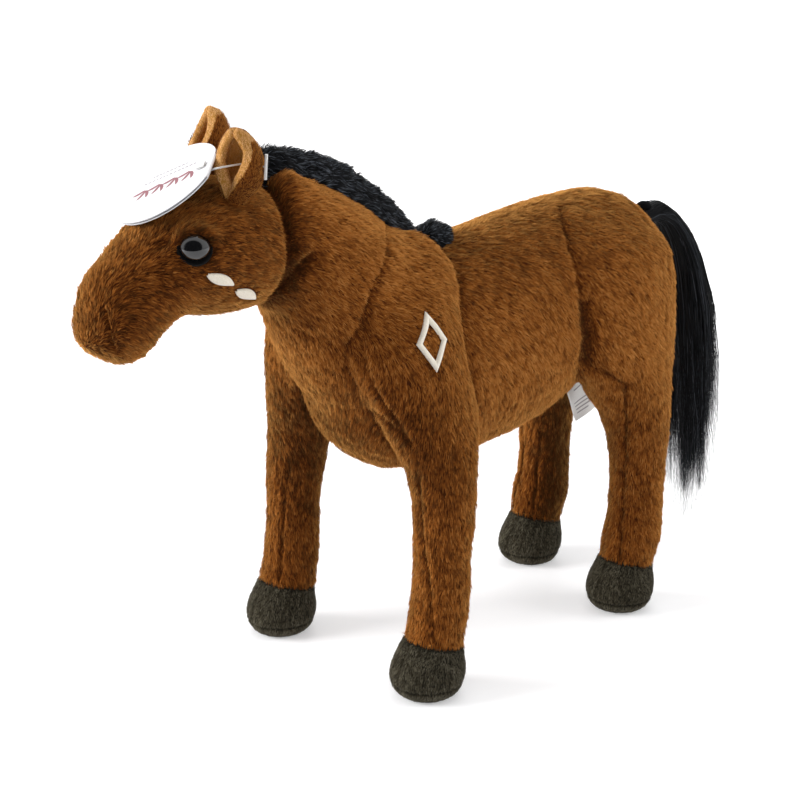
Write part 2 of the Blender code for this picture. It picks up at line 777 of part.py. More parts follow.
def tag_frame(head):
    """Place the tag on the forehead: its middle, normal, and the direction from hole to middle."""
    normal = Vector((-sin(TAG_ROLL_ANGLE), -sin(TAG_PITCH_ANGLE), 0))
    normal.z = sqrt(1 - normal.length_squared)
    flat = Vector((-sin(TAG_TURN_ANGLE), -cos(TAG_TURN_ANGLE), 0))
    down = (flat - normal * flat.dot(normal)).normalized()
    out, reach = tag_place_shares
    hole = head_point(reach, 0)
    hole.x = HEAD_WIDTH * out
    middle = hole + down * (TAG_RADIUS - TAG_HOLE_INSET)
    built = head.mesh()
    highest = None
    for vertex in built.verts:
        offset = vertex.co - middle
        height = offset.dot(normal)
        if (offset - normal * height).length < TAG_RADIUS:
            highest = height if highest is None else max(highest, height)
    built.free()
    half = TAG_CARD + TAG_LEAF_GAP / 2
    middle.z += (highest + TAG_REST_GAP + half) / normal.z
    return middle, normal, down


def tag_hole(frame):
    middle, _, down = frame
    return middle - down * (TAG_RADIUS - TAG_HOLE_INSET)


def tag_card_mesh(frame):
    """A card folded double: a narrow U drawn along the fold."""
    middle, normal, down = frame
    across = normal.cross(down)
    outer = TAG_CARD + TAG_LEAF_GAP / 2
    inner = TAG_LEAF_GAP / 2
    fold = -TAG_RADIUS * tag_fold_share
    far = TAG_RADIUS + CUT_OVERRUN
    outline = [(far, outer), (fold + outer, outer), (fold, inner), (fold, -inner), (fold + outer, -outer)]
    outline += [(far, -outer), (far, -inner), (fold + outer, -inner), (fold + outer, inner), (far, inner)]
    half = TAG_RADIUS + CUT_OVERRUN
    built = bmesh.new()
    ends = []
    for shift in (-half, half):
        ends.append([built.verts.new(middle + across * shift + down * x + normal * z) for x, z in outline])
    close_prism(built, *ends)
    return built


def close_prism(built, near, far):
    """Join two like loops of vertices into a closed bar."""
    for k in range(len(near)):
        after = (k + 1) % len(near)
        built.faces.new((near[k], near[after], far[after], far[k]))
    built.faces.new(near)
    built.faces.new(far)
    face_outwards(built)


def tube_mesh(points, radius, sides):
    """A round filament along a smooth line of points."""
    built = bmesh.new()
    rings = []
    first = points[1] - points[0]
    side = first.orthogonal().normalized()
    for k, point in enumerate(points):
        run = (points[min(k + 1, len(points) - 1)] - points[max(k - 1, 0)]).normalized()
        side = (side - run * side.dot(run)).normalized()
        other = run.cross(side)
        ring = []
        for turn in range(sides):
            angle = 2 * pi * turn / sides
            ring.append(built.verts.new(point + (side * cos(angle) + other * sin(angle)) * radius))
        rings.append(ring)
    for lower, upper in zip(rings, rings[1:]):
        for k in range(sides):
            after = (k + 1) % sides
            built.faces.new((lower[k], lower[after], upper[after], upper[k]))
    built.faces.new(rings[0])
    built.faces.new(rings[-1])
    face_outwards(built)
    return built


def pin_route(frame, ear):
    """From the bar behind the ear, through the cloth and the cup, under the tag and up its hole."""
    root, up, forward, across, length, _ = ear
    middle, normal, _ = frame
    hole = tag_hole(frame)
    height, radius, _ = blend_rows(ear_row_shares, EAR_PIN_ROW)
    axis = root + up * (length * height)
    through = (across * sin(EAR_PIN_ANGLE) - forward * cos(EAR_PIN_ANGLE)).normalized()
    cloth = axis + through * (EAR_WIDTH / 2 * radius)
    bar = cloth + through * (PIN_BAR_RADIUS + HOOK_GAP)
    under = TAG_CARD + TAG_LEAF_GAP / 2
    top = hole + normal * (under + SEAM_GAP)
    below = hole - normal * (under + PIN_DIP)
    inside = axis + through * (EAR_WIDTH / 2 * radius * pin_inside_share)
    mouth = (axis + forward * (EAR_WIDTH / 2 * radius)).lerp(below, pin_mouth_share)
    return bar, through, cloth, [bar, cloth - through * (3 * EAR_CLOTH + SEAM_GAP), inside, mouth, below, top]


def smooth_line(points, steps):
    """Points on a smooth curve through the given ones."""
    rows = [(point,) for point in points]
    total = (len(points) - 1) * steps
    return [blend_rows(rows, (len(points) - 1) * k / total)[0] for k in range(total + 1)]


def box_mesh(centre, axes, sizes):
    """A plain block from three directions and three full sizes."""
    built = bmesh.new()
    half = [axis * (size / 2) for axis, size in zip(axes, sizes)]
    ends = []
    for shift in (-1, 1):
        loop = []
        for a, b in ((-1, -1), (1, -1), (1, 1), (-1, 1)):
            loop.append(built.verts.new(centre + half[0] * a + half[1] * b + half[2] * shift))
        ends.append(loop)
    close_prism(built, *ends)
    return built


# Sewn labels

def label_line(torso_tree):
    """The two ends of the belly seam that holds the labels."""
    ends = []
    for shift in (-1 / 2, 1 / 2):
        y = torso_front() + TORSO_LENGTH * label_place_share + LABEL_WIDTH * shift
        start = Vector((0, y, 0))
        seat, _ = cast(torso_tree, start, Vector((0, 0, 1)))
        ends.append(seat - Vector((0, 0, HOOK_GAP)))
    return ends


def label_mesh(line, length, offset):
    front, back = line
    along = (back - front).normalized()
    down = Vector((0, along.z, -along.y))
    centre = (front + back) / 2 + down * (length / 2) + Vector((offset, 0, 0))
    axes = (along, down, Vector((1, 0, 0)))
    return box_mesh(centre, axes, (LABEL_WIDTH, length, LABEL_CLOTH))


# Embroidery

def lozenge_outline(centre, height, width):
    corners = ((0, 1), (1, 0), (0, -1), (-1, 0))
    return [centre + Vector((0, width / 2 * a, height / 2 * b)) for a, b in corners]


def leaf_outline(centre, length, width, tilt):
    """A slim leaf made of two equal arcs."""
    points = []
    for side in (1, -1):
        for k in range(LEAF_STEPS):
            share = k / LEAF_STEPS
            along = length * (1 / 2 - share) * side
            bulge = width / 2 * sin(pi * share) * side
            points.append(centre + Vector((0, along * cos(tilt) - bulge * sin(tilt),
                                           along * sin(tilt) + bulge * cos(tilt))))
    return points


def side_prism(outline, hollow=None):
    """Draw an outline of the middle plane out to the left side, with an opening if asked."""
    reach = Vector((TORSO_WIDTH, 0, 0))
    built = bmesh.new()
    near = [built.verts.new(p) for p in outline]
    far = [built.verts.new(p + reach) for p in outline]
    if not hollow:
        close_prism(built, near, far)
        return built
    near_in = [built.verts.new(p) for p in hollow]
    far_in = [built.verts.new(p + reach) for p in hollow]
    for k in range(len(near)):
        after = (k + 1) % len(near)
        built.faces.new((near[k], near[after], far[after], far[k]))
        built.faces.new((near_in[k], far_in[k], far_in[after], near_in[after]))
        built.faces.new((near[k], near_in[k], near_in[after], near[after]))
        built.faces.new((far[k], far[after], far_in[after], far_in[k]))
    face_outwards(built)
    return built


def stitch(name, prism, form):
    """Keep only the thin layer of a prism that lies on a form's skin."""
    thing = add_object(name, prism, "stitch_cream")
    boolean(thing, form_cutter(f"{name}_top", form, SEAM_GAP + STITCH_HEIGHT), "INTERSECT")
    boolean(thing, form_cutter(f"{name}_bed", form, SEAM_GAP))
    return thing


def set_origin(thing, point):
    """Put an object's origin on its joint."""
    thing.data.transform(Matrix.Translation(-point))
    thing.location = point


def centre_on_ground():
    """Move everything so that the middle of the box around the horse stands on the origin."""
    bpy.context.view_layer.update()
    graph = bpy.context.evaluated_depsgraph_get()
    corners = []
    for thing in bpy.data.objects:
        if thing.hide_render:
            continue
        shape = thing.evaluated_get(graph)
        corners += [shape.matrix_world @ vertex.co for vertex in shape.to_mesh().vertices]
        shape.to_mesh_clear()
    shift = Vector((0, 0, 0))
    for axis in (0, 1):
        values = [corner[axis] for corner in corners]
        shift[axis] = -(min(values) + max(values)) / 2
    for thing in bpy.data.objects:
        thing.location += shift
    return shift


def build_legs(cutters):
    forms = {}
    for end, label in ((-1, "fore"), (1, "hind")):
        for side, hand in ((1, "left"), (-1, "right")):
            form = leg_form(end, side)
            forms[f"{hand}_{label}leg"] = form
            leg = add_object(f"{hand}_{label}leg", form.mesh(), "brown_plush")
            boolean(leg, cutters["torso"])
            if end < 0:
                boolean(leg, cutters["neck"])
            add_object(f"{hand}_{label}_hoof", hoof_form(end, side).mesh(), "hoof_plush")
            add_object(f"{hand}_{label}_sole", sole_mesh(end, side), "hoof_plush")
    return forms


def build_ears(head_tree, head_cutter):
    ears = {}
    for side, hand in ((1, "left"), (-1, "right")):
        ears[hand] = ear_axis(side, head_tree)
        shell = add_object(f"{hand}_ear_back", ear_mesh(ears[hand], 0, EAR_CLOTH), "brown_plush")
        outset = EAR_CLOTH + SEAM_GAP
        lining = add_object(f"{hand}_ear_lining", ear_mesh(ears[hand], outset, EAR_CLOTH), "ear_lining")
        for cloth in (shell, lining):
            boolean(cloth, head_cutter)
    return ears


def build_eyes(head, head_tree):
    for side, hand in ((1, "left"), (-1, "right")):
        seat, normal = eye_seat(side, head_tree)
        boolean(head, add_object(f"{hand}_eye_socket", eye_socket(seat, normal)))
        add_object(f"{hand}_eye", eye_mesh(seat, normal), "eye_plastic")
        add_object(f"{hand}_eye_washer", washer_mesh(seat, normal), "washer_plastic")


def build_tag(head_shape, ear):
    frame = tag_frame(head_shape)
    middle, normal, down = frame
    hole = tag_hole(frame)
    reach = normal * (TAG_CARD + TAG_LEAF_GAP + CUT_OVERRUN)
    card = add_object("hang_tag", tag_card_mesh(frame), "tag_card")
    boolean(card, add_object("tag_disc", rod(middle - reach, middle + reach, TAG_RADIUS, TAG_SIDES)), "INTERSECT")
    boolean(card, add_object("tag_hole", rod(hole - reach, hole + reach, TAG_HOLE_RADIUS)))
    set_origin(card, hole)
    bar, through, cloth, route = pin_route(frame, ear)
    pin = add_object("tag_pin", tube_mesh(smooth_line(route, PIN_STEPS), PIN_RADIUS, PIN_SIDES), "pin_plastic")
    half_bar = ear[1] * (PIN_BAR_LENGTH / 2)
    boolean(pin, add_object("pin_bar", rod(bar - half_bar, bar + half_bar, PIN_BAR_RADIUS, BAR_SIDES)), "UNION")
    across = normal.cross(down)
    plate = box_mesh(route[-1] + normal * (PIN_HEAD_THICKNESS / 2), (across, down, normal),
                     (PIN_HEAD_WIDTH, PIN_HEAD_WIDTH, PIN_HEAD_THICKNESS))
    boolean(pin, add_object("pin_head", plate), "UNION")
    reach = through * CUT_OVERRUN
    cutter = add_object("ear_piercing", rod(cloth - reach, cloth + reach, EAR_HOLE_RADIUS, BORE_SIDES))
    for name in ("left_ear_back", "left_ear_lining"):
        boolean(bpy.data.objects[name], cutter)
    return hole, normal


def build_tail(torso, torso_tree):
    centre = dock_centre(torso_tree)
    boolean(torso, add_object("dock_seat", dock_stub(centre, SEAM_GAP)))
    dock = add_object("tail_dock", ball(centre, DOCK_RADIUS), "black_pile")
    boolean(dock, add_object("dock_stub", dock_stub(centre, 0)), "UNION")
    hair = add_object("tail_hair", tail_form(centre).mesh(), "black_pile")
    boolean(hair, add_object("hair_socket", ball(centre, DOCK_RADIUS + SEAM_GAP)))
    boolean(hair, form_cutter("hair_rump", torso_form(), HOOK_GAP))
    for piece in (dock, hair):
        set_origin(piece, centre)
    return centre


def build_labels(torso_tree):
    line = label_line(torso_tree)
    middle = (line[0] + line[1]) / 2
    pitch = LABEL_CLOTH + SEAM_GAP
    long_one = add_object("long_label", label_mesh(line, LONG_LABEL_LENGTH, 0), "label_satin")
    short_one = add_object("short_label", label_mesh(line, SHORT_LABEL_LENGTH, pitch), "label_satin")
    for piece in (long_one, short_one):
        set_origin(piece, middle)
    return line


def build_stitches(head, shoulder):
    for k, (reach, rise, tilt) in enumerate(cheek_leaf_shares):
        outline = leaf_outline(head_point(reach, rise), LEAF_LENGTH, LEAF_WIDTH, pi * tilt)
        stitch(f"cheek_leaf_{k + 1}", side_prism(outline), head)
    along, out, up = shoulder_mark_shares
    y = torso_front() + TORSO_LENGTH * along
    centre = Vector((FORE_STANCE_WIDTH / 2 * out, y, FORELEG_HEIGHT * up))
    outer = lozenge_outline(centre, LOZENGE_HEIGHT, LOZENGE_WIDTH)
    slope = sqrt(LOZENGE_HEIGHT ** 2 + LOZENGE_WIDTH ** 2)
    inner = lozenge_outline(centre, LOZENGE_HEIGHT - 2 * LOZENGE_STROKE * slope / LOZENGE_WIDTH,
                            LOZENGE_WIDTH - 2 * LOZENGE_STROKE * slope / LOZENGE_HEIGHT)
    stitch("shoulder_lozenge", side_prism(outer, inner), shoulder)


def build():
    clear_scene()
    torso_shape, neck_shape, head_shape = torso_form(), neck_form(), head_form()
    torso_tree, head_tree = surface_tree(torso_shape), surface_tree(head_shape)
    cutters = {
        "torso": form_cutter("torso_cutter", torso_shape),
        "neck": form_cutter("neck_cutter", neck_shape),
        "head": form_cutter("head_cutter", head_shape),
    }
    torso = add_object("torso", torso_shape.mesh(), "brown_plush")
    neck = add_object("neck", neck_shape.mesh(), "brown_plush")
    head = add_object("head", head_shape.mesh(), "brown_plush")
    boolean(neck, cutters["torso"])
    boolean(neck, cutters["head"])
    legs = build_legs(cutters)
    ears = build_ears(head_tree, cutters["head"])
    build_eyes(head, head_tree)
    mane_shape = mane_form()
    mane = add_object("mane", mane_shape.mesh(), "black_pile")
    tuft = add_object("withers_tuft", tuft_form(torso_tree).mesh(), "black_pile")
    shoulders = [form_cutter(f"{name}_cutter", legs[name]) for name in ("left_foreleg", "right_foreleg")]
    for pile in (mane, tuft):
        for cutter in (cutters["head"], cutters["torso"], *shoulders, cutters["neck"]):
            boolean(pile, cutter)
    boolean(tuft, form_cutter("mane_cutter", mane_shape))
    dock = build_tail(torso, torso_tree)
    hole, pin_axis = build_tag(head_shape, ears["left"])
    line = build_labels(torso_tree)
    build_stitches(head_shape, legs["left_foreleg"])
    shift = centre_on_ground()
    for name, point in (("tail dock", dock), ("tag hole", hole), ("label front", line[0]), ("label back", line[1])):
        print(name, [round(value, 5) for value in point + shift])
    print("tag pin axis", [round(value, 4) for value in pin_axis])
    print("shift", [round(value, 5) for value in shift])
    for end in (-1, 1):
        for side in (1, -1):
            print("hoof", [round(value, 5) for value in hoof_centre(end, side) + shift])


build()
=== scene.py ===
"""Looks of a standing plush horse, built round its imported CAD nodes.

The horse faces -Y with its left side at +X and stands on the plane Z = 0. Sizes are in metres.
"""
from itertools import product
from math import cos, pi, radians, sin, sqrt

import bmesh
import bpy
import numpy as np
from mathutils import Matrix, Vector
from mathutils.bvhtree import BVHTree
from mathutils.kdtree import KDTree


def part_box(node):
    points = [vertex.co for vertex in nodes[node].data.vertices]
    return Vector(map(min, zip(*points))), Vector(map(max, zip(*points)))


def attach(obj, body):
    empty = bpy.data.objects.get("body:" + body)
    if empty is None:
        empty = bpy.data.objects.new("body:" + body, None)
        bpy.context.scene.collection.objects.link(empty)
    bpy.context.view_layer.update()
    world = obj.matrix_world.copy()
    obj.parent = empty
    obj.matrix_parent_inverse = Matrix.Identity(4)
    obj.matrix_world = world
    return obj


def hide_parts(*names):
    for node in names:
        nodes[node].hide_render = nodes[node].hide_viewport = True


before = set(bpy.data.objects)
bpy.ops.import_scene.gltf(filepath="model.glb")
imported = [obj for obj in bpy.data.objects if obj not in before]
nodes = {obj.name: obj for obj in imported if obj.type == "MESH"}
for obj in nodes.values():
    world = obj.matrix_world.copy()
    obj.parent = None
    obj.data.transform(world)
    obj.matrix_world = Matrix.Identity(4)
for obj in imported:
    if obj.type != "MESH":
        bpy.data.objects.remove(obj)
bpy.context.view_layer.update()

MM = 0.001
BODY_NODES = ["torso", "neck", "head", "left_foreleg", "right_foreleg", "left_hindleg", "right_hindleg"]
HOOF_NODES = ["left_fore", "right_fore", "left_hind", "right_hind"]

# The photograph's camera: where it aims, from which way, how far, and its focal length in pixels
IMAGE_SIZE = 800
AIM = np.array((-0.0548, 0.01693, 0.1036))
AZIMUTH = radians(50.8)
ELEVATION = radians(17.0)
DISTANCE = 0.85
FOCAL = 1636
BACK = np.array((sin(AZIMUTH) * cos(ELEVATION), -cos(AZIMUTH) * cos(ELEVATION), sin(ELEVATION)))
RIGHT = np.array((cos(AZIMUTH), sin(AZIMUTH), 0))
UP = np.cross(BACK, RIGHT)
EYE_POINT = AIM + BACK * DISTANCE

# Plush skin: its grid, how far it lies under the pile's tips, its seams, and where the leg cloth ends
SKIN_VOXEL = 1.0 * MM
PILE_DEPTH = 1.3 * MM
SEAM_DEPTH = 1.3 * MM
SEAM_WIDTH = 1.5 * MM
LEG_END = 21.5 * MM

DENSITY = 3.6 / MM ** 2
PIECE_BLADES = 60000
few = 1


# Small tools

def unit(rows):
    return rows / np.maximum(np.linalg.norm(rows, axis=-1, keepdims=True), 1e-12)


def away_from(verts, point):
    return np.linalg.norm(verts - point, axis=1)


def bell(distance, width):
    """A smooth bump: 1 at no distance, fading away past the width."""
    return np.exp(-(distance / width) ** 2)


def rising(values, start, end):
    """0 at the start to 1 at the end, which may be the lower of the two."""
    return np.clip((values - start) / (end - start), 0, 1)


def lie_flat(ways, normals):
    """Directions pressed onto a surface."""
    return unit(ways - normals * (ways * normals).sum(1, keepdims=True))


def box(name):
    """Low and high corners of a CAD node."""
    return np.array([list(corner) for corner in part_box(name)])


def middle_of(name):
    return box(name).mean(0)


def node_points(name):
    return read_mesh(nodes[name].data)[0]


def lattice_value(i, j, k, seed):
    """A fixed pseudo-random number in -1 to 1 for each lattice point."""
    n = (i * 73856093) ^ (j * 19349663) ^ (k * 83492791) ^ (seed * 40503 + 977)
    n = (n ^ (n >> 13)) * 1274126177
    n = (n ^ (n >> 16)) & 0x7FFFFFFF
    return n / 0x3FFFFFFF - 1


def noise(points, size, seed):
    """Smooth value noise in -1 to 1 at points, with bumps of about that size."""
    scaled = points / size + 100
    cell = np.floor(scaled).astype(np.int64)
    part = scaled - cell
    part = part * part * (3 - 2 * part)
    total = 0
    for corner in product((0, 1), repeat=3):
        share = np.where(corner, part, 1 - part).prod(1)
        total = total + share * lattice_value(*(cell + corner).T, seed)
    return total


def noise_rows(points, size, seed):
    return np.stack([noise(points, size, seed + k) for k in range(3)], axis=1)


def pixel_ray(x, y):
    """Direction from the camera through a pixel of the photograph."""
    half = IMAGE_SIZE / 2
    return unit(-BACK + RIGHT * (x - half) / FOCAL - UP * (y - half) / FOCAL)


def put(name, data):
    """A new object of this data, in the scene."""
    thing = bpy.data.objects.new(name, data)
    bpy.context.scene.collection.objects.link(thing)
    return thing


def new_object(name, verts, faces, material):
    """A mesh object from arrays; faces are a list of (m, k) index arrays."""
    mesh = bpy.data.meshes.new(name)
    loops = np.concatenate([f.ravel() for f in faces]).astype(np.int32)
    sizes = np.concatenate([np.full(len(f), f.shape[1]) for f in faces])
    mesh.vertices.add(len(verts))
    mesh.vertices.foreach_set("co", np.asarray(verts, np.float32).ravel())
    mesh.loops.add(len(loops))
    mesh.loops.foreach_set("vertex_index", loops)
    mesh.polygons.add(len(sizes))
    mesh.polygons.foreach_set("loop_start", np.concatenate([[0], np.cumsum(sizes)[:-1]]).astype(np.int32))
    mesh.update(calc_edges=True)
    mesh.validate()
    mesh.materials.append(material)
    return put(name, mesh)


def set_point_value(thing, name, values):
    attribute = thing.data.attributes.new(name, "FLOAT", "POINT")
    attribute.data.foreach_set("value", np.asarray(values, np.float32))


def cell_uvs(thing, cell_of_face, local):
    """Give each face its own small cell of the bake map; local is each loop's place in its cell."""
    count = int(cell_of_face.max()) + 1
    side = int(np.ceil(sqrt(count)))
    cell = np.repeat(cell_of_face, read_all(thing.data.polygons, "loop_total", np.int32))
    place = np.stack([cell % side, cell // side], axis=1)
    layer = thing.data.uv_layers.new(name="OFBake")
    layer.data.foreach_set("uv", ((place + 0.12 + 0.76 * local) / side).astype(np.float32).ravel())


def read_all(items, key, kind, width=1):
    values = np.empty(len(items) * width, kind)
    items.foreach_get(key, values)
    return values


def read_mesh(mesh):
    verts = read_all(mesh.vertices, "co", np.float32, 3).reshape(-1, 3)
    edges = read_all(mesh.edges, "vertices", np.int32, 2).reshape(-1, 2)
    return verts.astype(float), edges, read_all(mesh.loops, "vertex_index", np.int32)


def grid_quads(count, rows, columns, closed=False):
    """Faces of so many grids of vertices, each laid row by row; closed ones are tubes."""
    grid = np.arange(count * rows * columns).reshape(count, rows, columns)
    if closed:
        grid = np.concatenate([grid, grid[:, :, :1]], axis=2)
    corners = [grid[:, :-1, :-1], grid[:, :-1, 1:], grid[:, 1:, 1:], grid[:, 1:, :-1]]
    return np.stack(corners, axis=-1).reshape(-1, 4)


def vertex_normals(verts, quads):
    cross = np.cross(verts[quads[:, 2]] - verts[quads[:, 0]], verts[quads[:, 3]] - verts[quads[:, 1]])
    total = np.zeros_like(verts)
    for axis in range(3):
        for corner in range(4):
            total[:, axis] += np.bincount(quads[:, corner], cross[:, axis], len(verts))
    return unit(total)


def spread(values, edges, rounds, factors=(0.5,)):
    """Average values along the mesh's edges; a pair such as 0.5, -0.52 smooths without shrinking."""
    count = len(values)
    rows = np.concatenate([edges[:, 0], edges[:, 1]])
    others = np.concatenate([edges[:, 1], edges[:, 0]])
    degree = np.maximum(np.bincount(rows, minlength=count), 1)[:, None]
    values = np.array(values, float).reshape(count, -1)
    for _ in range(rounds):
        for factor in factors:
            mean = np.stack([np.bincount(rows, values[others, k], count) for k in range(values.shape[1])], 1)
            values += factor * (mean / degree - values)
    return values


def node_bmesh(names):
    built = bmesh.new()
    for name in names:
        built.from_mesh(nodes[name].data)
    bmesh.ops.remove_doubles(built, verts=built.verts, dist=MM / 1000)
    return built


def node_tree(name):
    built = node_bmesh([name])
    tree = BVHTree.FromBMesh(built)
    built.free()
    return tree


def remeshed(names, voxel, rounds, grow=0):
    """One closed quad skin round the named nodes, smoothed; returns verts, edges and quads."""
    built = node_bmesh(names)
    if grow:
        built.normal_update()
        for vertex in built.verts:
            vertex.co += vertex.normal * grow
    mesh = bpy.data.meshes.new("scratch")
    built.to_mesh(mesh)
    built.free()
    thing = put("scratch", mesh)
    modifier = thing.modifiers.new("remesh", "REMESH")
    modifier.mode = "VOXEL"
    modifier.voxel_size = voxel
    modifier.adaptivity = 0
    shape = thing.evaluated_get(bpy.context.evaluated_depsgraph_get())
    made = shape.to_mesh()
    verts, edges, loops = read_mesh(made)
    quads = loops.reshape(-1, 4)
    shape.to_mesh_clear()
    bpy.data.objects.remove(thing)
    bpy.data.meshes.remove(mesh)
    verts = spread(verts, edges, rounds, (0.5, -0.52))
    return verts, edges, quads


def streak_field(verts, edges, quads, nap, steps, seed):
    """White noise drawn out along the nap, as fine streaks; about -2 to 2 at each vertex."""
    rng = np.random.default_rng(seed)
    pairs = [edges, edges[:, ::-1]]
    for a, b in ((0, 2), (2, 0), (1, 3), (3, 1)):
        pairs.append(quads[:, [a, b]])
    pairs = np.concatenate(pairs)
    score = (unit(verts[pairs[:, 1]] - verts[pairs[:, 0]]) * nap[pairs[:, 0]]).sum(1)
    score = score + rng.normal(0, 0.15, len(pairs))
    pairs = pairs[np.lexsort((score, pairs[:, 0]))]
    best = pairs[np.append(np.diff(pairs[:, 0]) > 0, True)]
    ahead = np.arange(len(verts))
    ahead[best[:, 0]] = best[:, 1]
    white = rng.normal(0, 1, len(verts))
    total, place = white.copy(), np.arange(len(verts))
    for _ in range(steps):
        place = ahead[place]
        total += white[place]
    return total / sqrt(steps + 1)


def near_points(verts, points, reach):
    """Distance of each vertex from the nearest of the points, up to reach."""
    distance = np.full(len(verts), reach)
    if not len(points):
        return distance
    tree = KDTree(len(points))
    for k, point in enumerate(points):
        tree.insert(point, k)
    tree.balance()
    low, high = points.min(0) - reach, points.max(0) + reach
    for k in np.nonzero(((verts > low) & (verts < high)).all(1))[0]:
        distance[k] = min(tree.find(verts[k])[2], reach)
    return distance


# Materials

def shader_nodes(name, colour, roughness, **sockets):
    """A Principled material; sockets are set on the shader itself."""
    made = bpy.data.materials.new(name)
    made.use_nodes = True
    shader = made.node_tree.nodes["Principled BSDF"]
    shader.inputs["Base Color"].default_value = (*colour, 1)
    shader.inputs["Roughness"].default_value = roughness
    for key, value in sockets.items():
        shader.inputs[key.replace("_", " ")].default_value = value
    return made, made.node_tree, shader


def add_node(tree, kind, links=(), **values):
    """Make a shader node; links maps an input's name or number to an output socket."""
    made = tree.nodes.new("ShaderNode" + kind)
    for key, value in values.items():
        if key.startswith("in_"):
            made.inputs[int(key[3:])].default_value = value
        else:
            setattr(made, key, value)
    for key, output in dict(links).items():
        tree.links.new(output, made.inputs[key])
    return made


def ramp(tree, source, stops):
    """A colour ramp on a value; stops are (place, colour)."""
    made = add_node(tree, "ValToRGB", {0: source})
    elements = made.color_ramp.elements
    while len(elements) < len(stops):
        elements.new(0.5)
    for element, (place, colour) in zip(elements, stops):
        element.position = place
        element.color = (*colour, 1)
    return made.outputs[0]


def object_place(tree):
    return add_node(tree, "TexCoord").outputs["Object"]


def object_noise(tree, scale, detail):
    """Noise on the object's own coordinates."""
    return add_node(tree, "TexNoise", {0: object_place(tree)}, in_2=scale, in_3=detail, in_4=0.6).outputs[0]


def mottle(tree, shader, scale, detail, stops, socket="Base Color"):
    """Vary one of the shader's values with fine noise."""
    tree.links.new(ramp(tree, object_noise(tree, scale, detail), stops), shader.inputs[socket])


def bump(tree, shader, height, strength, distance):
    made = add_node(tree, "Bump", {"Height": height}, in_0=strength, in_1=distance)
    tree.links.new(made.outputs[0], shader.inputs["Normal"])


def pile_material(name, stops, roughness, sheen, tint, specular=0.05):
    """Cloth pile coloured by each blade's tone, painted light and shade included, with a velvety sheen."""
    made, tree, shader = shader_nodes(name, stops[1][1], roughness, Specular_IOR_Level=specular,
                                      Sheen_Weight=sheen, Sheen_Roughness=0.5, Sheen_Tint=(*tint, 1))
    tone = add_node(tree, "Attribute", attribute_name="tone").outputs["Fac"]
    patch = object_noise(tree, 60, 3)
    mixed = add_node(tree, "Math", {0: patch, 2: tone}, operation="MULTIPLY_ADD", in_1=0.08)
    tree.links.new(ramp(tree, mixed.outputs[0], stops), shader.inputs["Base Color"])
    return made


def backing_material(name, colour, dark):
    """Woven ground under the pile, seen only between blades."""
    made, tree, shader = shader_nodes(name, colour, 0.95, Specular_IOR_Level=0.15)
    mottle(tree, shader, 900, 2, [(0.35, dark), (0.65, colour)])
    bump(tree, shader, object_noise(tree, 1500, 2), 0.6, 0.4 * MM)
    return made


brown_pile = pile_material("chestnut_pile", [(0.0, (0.022, 0.0045, 0.0007)), (0.30, (0.098, 0.0225, 0.0028)),
                                             (0.62, (0.260, 0.0765, 0.0112)), (1.0, (0.450, 0.1780, 0.0420))],
                           0.80, 1.0, (1.0, 0.49, 0.13))
brown_ground = backing_material("chestnut_ground", (0.110, 0.030, 0.0048), (0.050, 0.0120, 0.0018))
hoof_pile = pile_material("charcoal_pile", [(0.0, (0.0080, 0.0066, 0.0038)), (0.35, (0.027, 0.0225, 0.0135)),
                                            (0.65, (0.066, 0.0570, 0.0380)), (1.0, (0.150, 0.1340, 0.0960))],
                          0.85, 0.10, (0.90, 0.85, 0.70))
hoof_ground = backing_material("charcoal_ground", (0.020, 0.0175, 0.012), (0.008, 0.0070, 0.0045))
tan_pile = pile_material("tan_pile", [(0.0, (0.230, 0.0950, 0.0210)), (0.30, (0.430, 0.2070, 0.0600)),
                                      (0.60, (0.650, 0.3450, 0.1250)), (1.0, (0.800, 0.4900, 0.2300))],
                         0.80, 0.8, (1.0, 0.66, 0.36))
tan_ground = backing_material("tan_ground", (0.460, 0.220, 0.050), (0.380, 0.175, 0.036))
# The black pile's palest stop, a blue-grey, colours the painted highlights of the tail's pale strands
black_pile = pile_material("black_pile", [(0.0, (0.0006, 0.0006, 0.0009)), (0.35, (0.0018, 0.0020, 0.0026)),
                                          (0.65, (0.0062, 0.0070, 0.0092)), (1.0, (0.0800, 0.0900, 0.1050))],
                           0.50, 0.0, (1.0, 1.0, 1.0), 0.12)
black_ground = backing_material("black_ground", (0.0026, 0.0027, 0.0032), (0.0012, 0.0012, 0.0015))


# The stuffed body: one smooth skin round all its forms, grooved where they are sewn together

def label_nearest(verts, edges, names, reach):
    """For each vertex, the number of the named CAD node it belongs to, with smooth borders."""
    scores = np.zeros((len(verts), len(names)))
    for k, name in enumerate(names):
        tree = node_tree(name)
        low, high = box(name)
        for i in np.nonzero(((verts > low - reach) & (verts < high + reach)).all(1))[0]:
            found = tree.find_nearest(verts[i], reach)[3]
            if found is not None:
                scores[i, k] = max(0, 1 - found / reach)
    return np.argmax(spread(scores ** 3, edges, 10), axis=1)


def project_line(points, tree):
    """Points of a line drawn on the photograph, laid on the skin every half millimetre or so."""
    found = []
    for (x0, y0), (x1, y1) in zip(points, points[1:]):
        steps = max(2, int(np.hypot(x1 - x0, y1 - y0)))
        for k in range(steps + 1):
            ray = pixel_ray(x0 + (x1 - x0) * k / steps, y0 + (y1 - y0) * k / steps)
            hit = tree.ray_cast(EYE_POINT, ray)[0]
            if hit is not None:
                found.append(np.array(hit))
    return np.array(found).reshape(-1, 3)


# Where the eyes sit: read from the washers, which share their axis
EYE_ABOVE_WASHER = 3.7 * MM
eyes = {}
for hand, side in (("left", 1), ("right", -1)):
    points = node_points(f"{hand}_eye_washer")
    centre = points.mean(0)
    axis = np.linalg.svd(points - centre, full_matrices=False)[2][2]
    axis = axis * np.sign(axis[0]) * side
    eyes[hand] = (centre + axis * EYE_ABOVE_WASHER, axis)

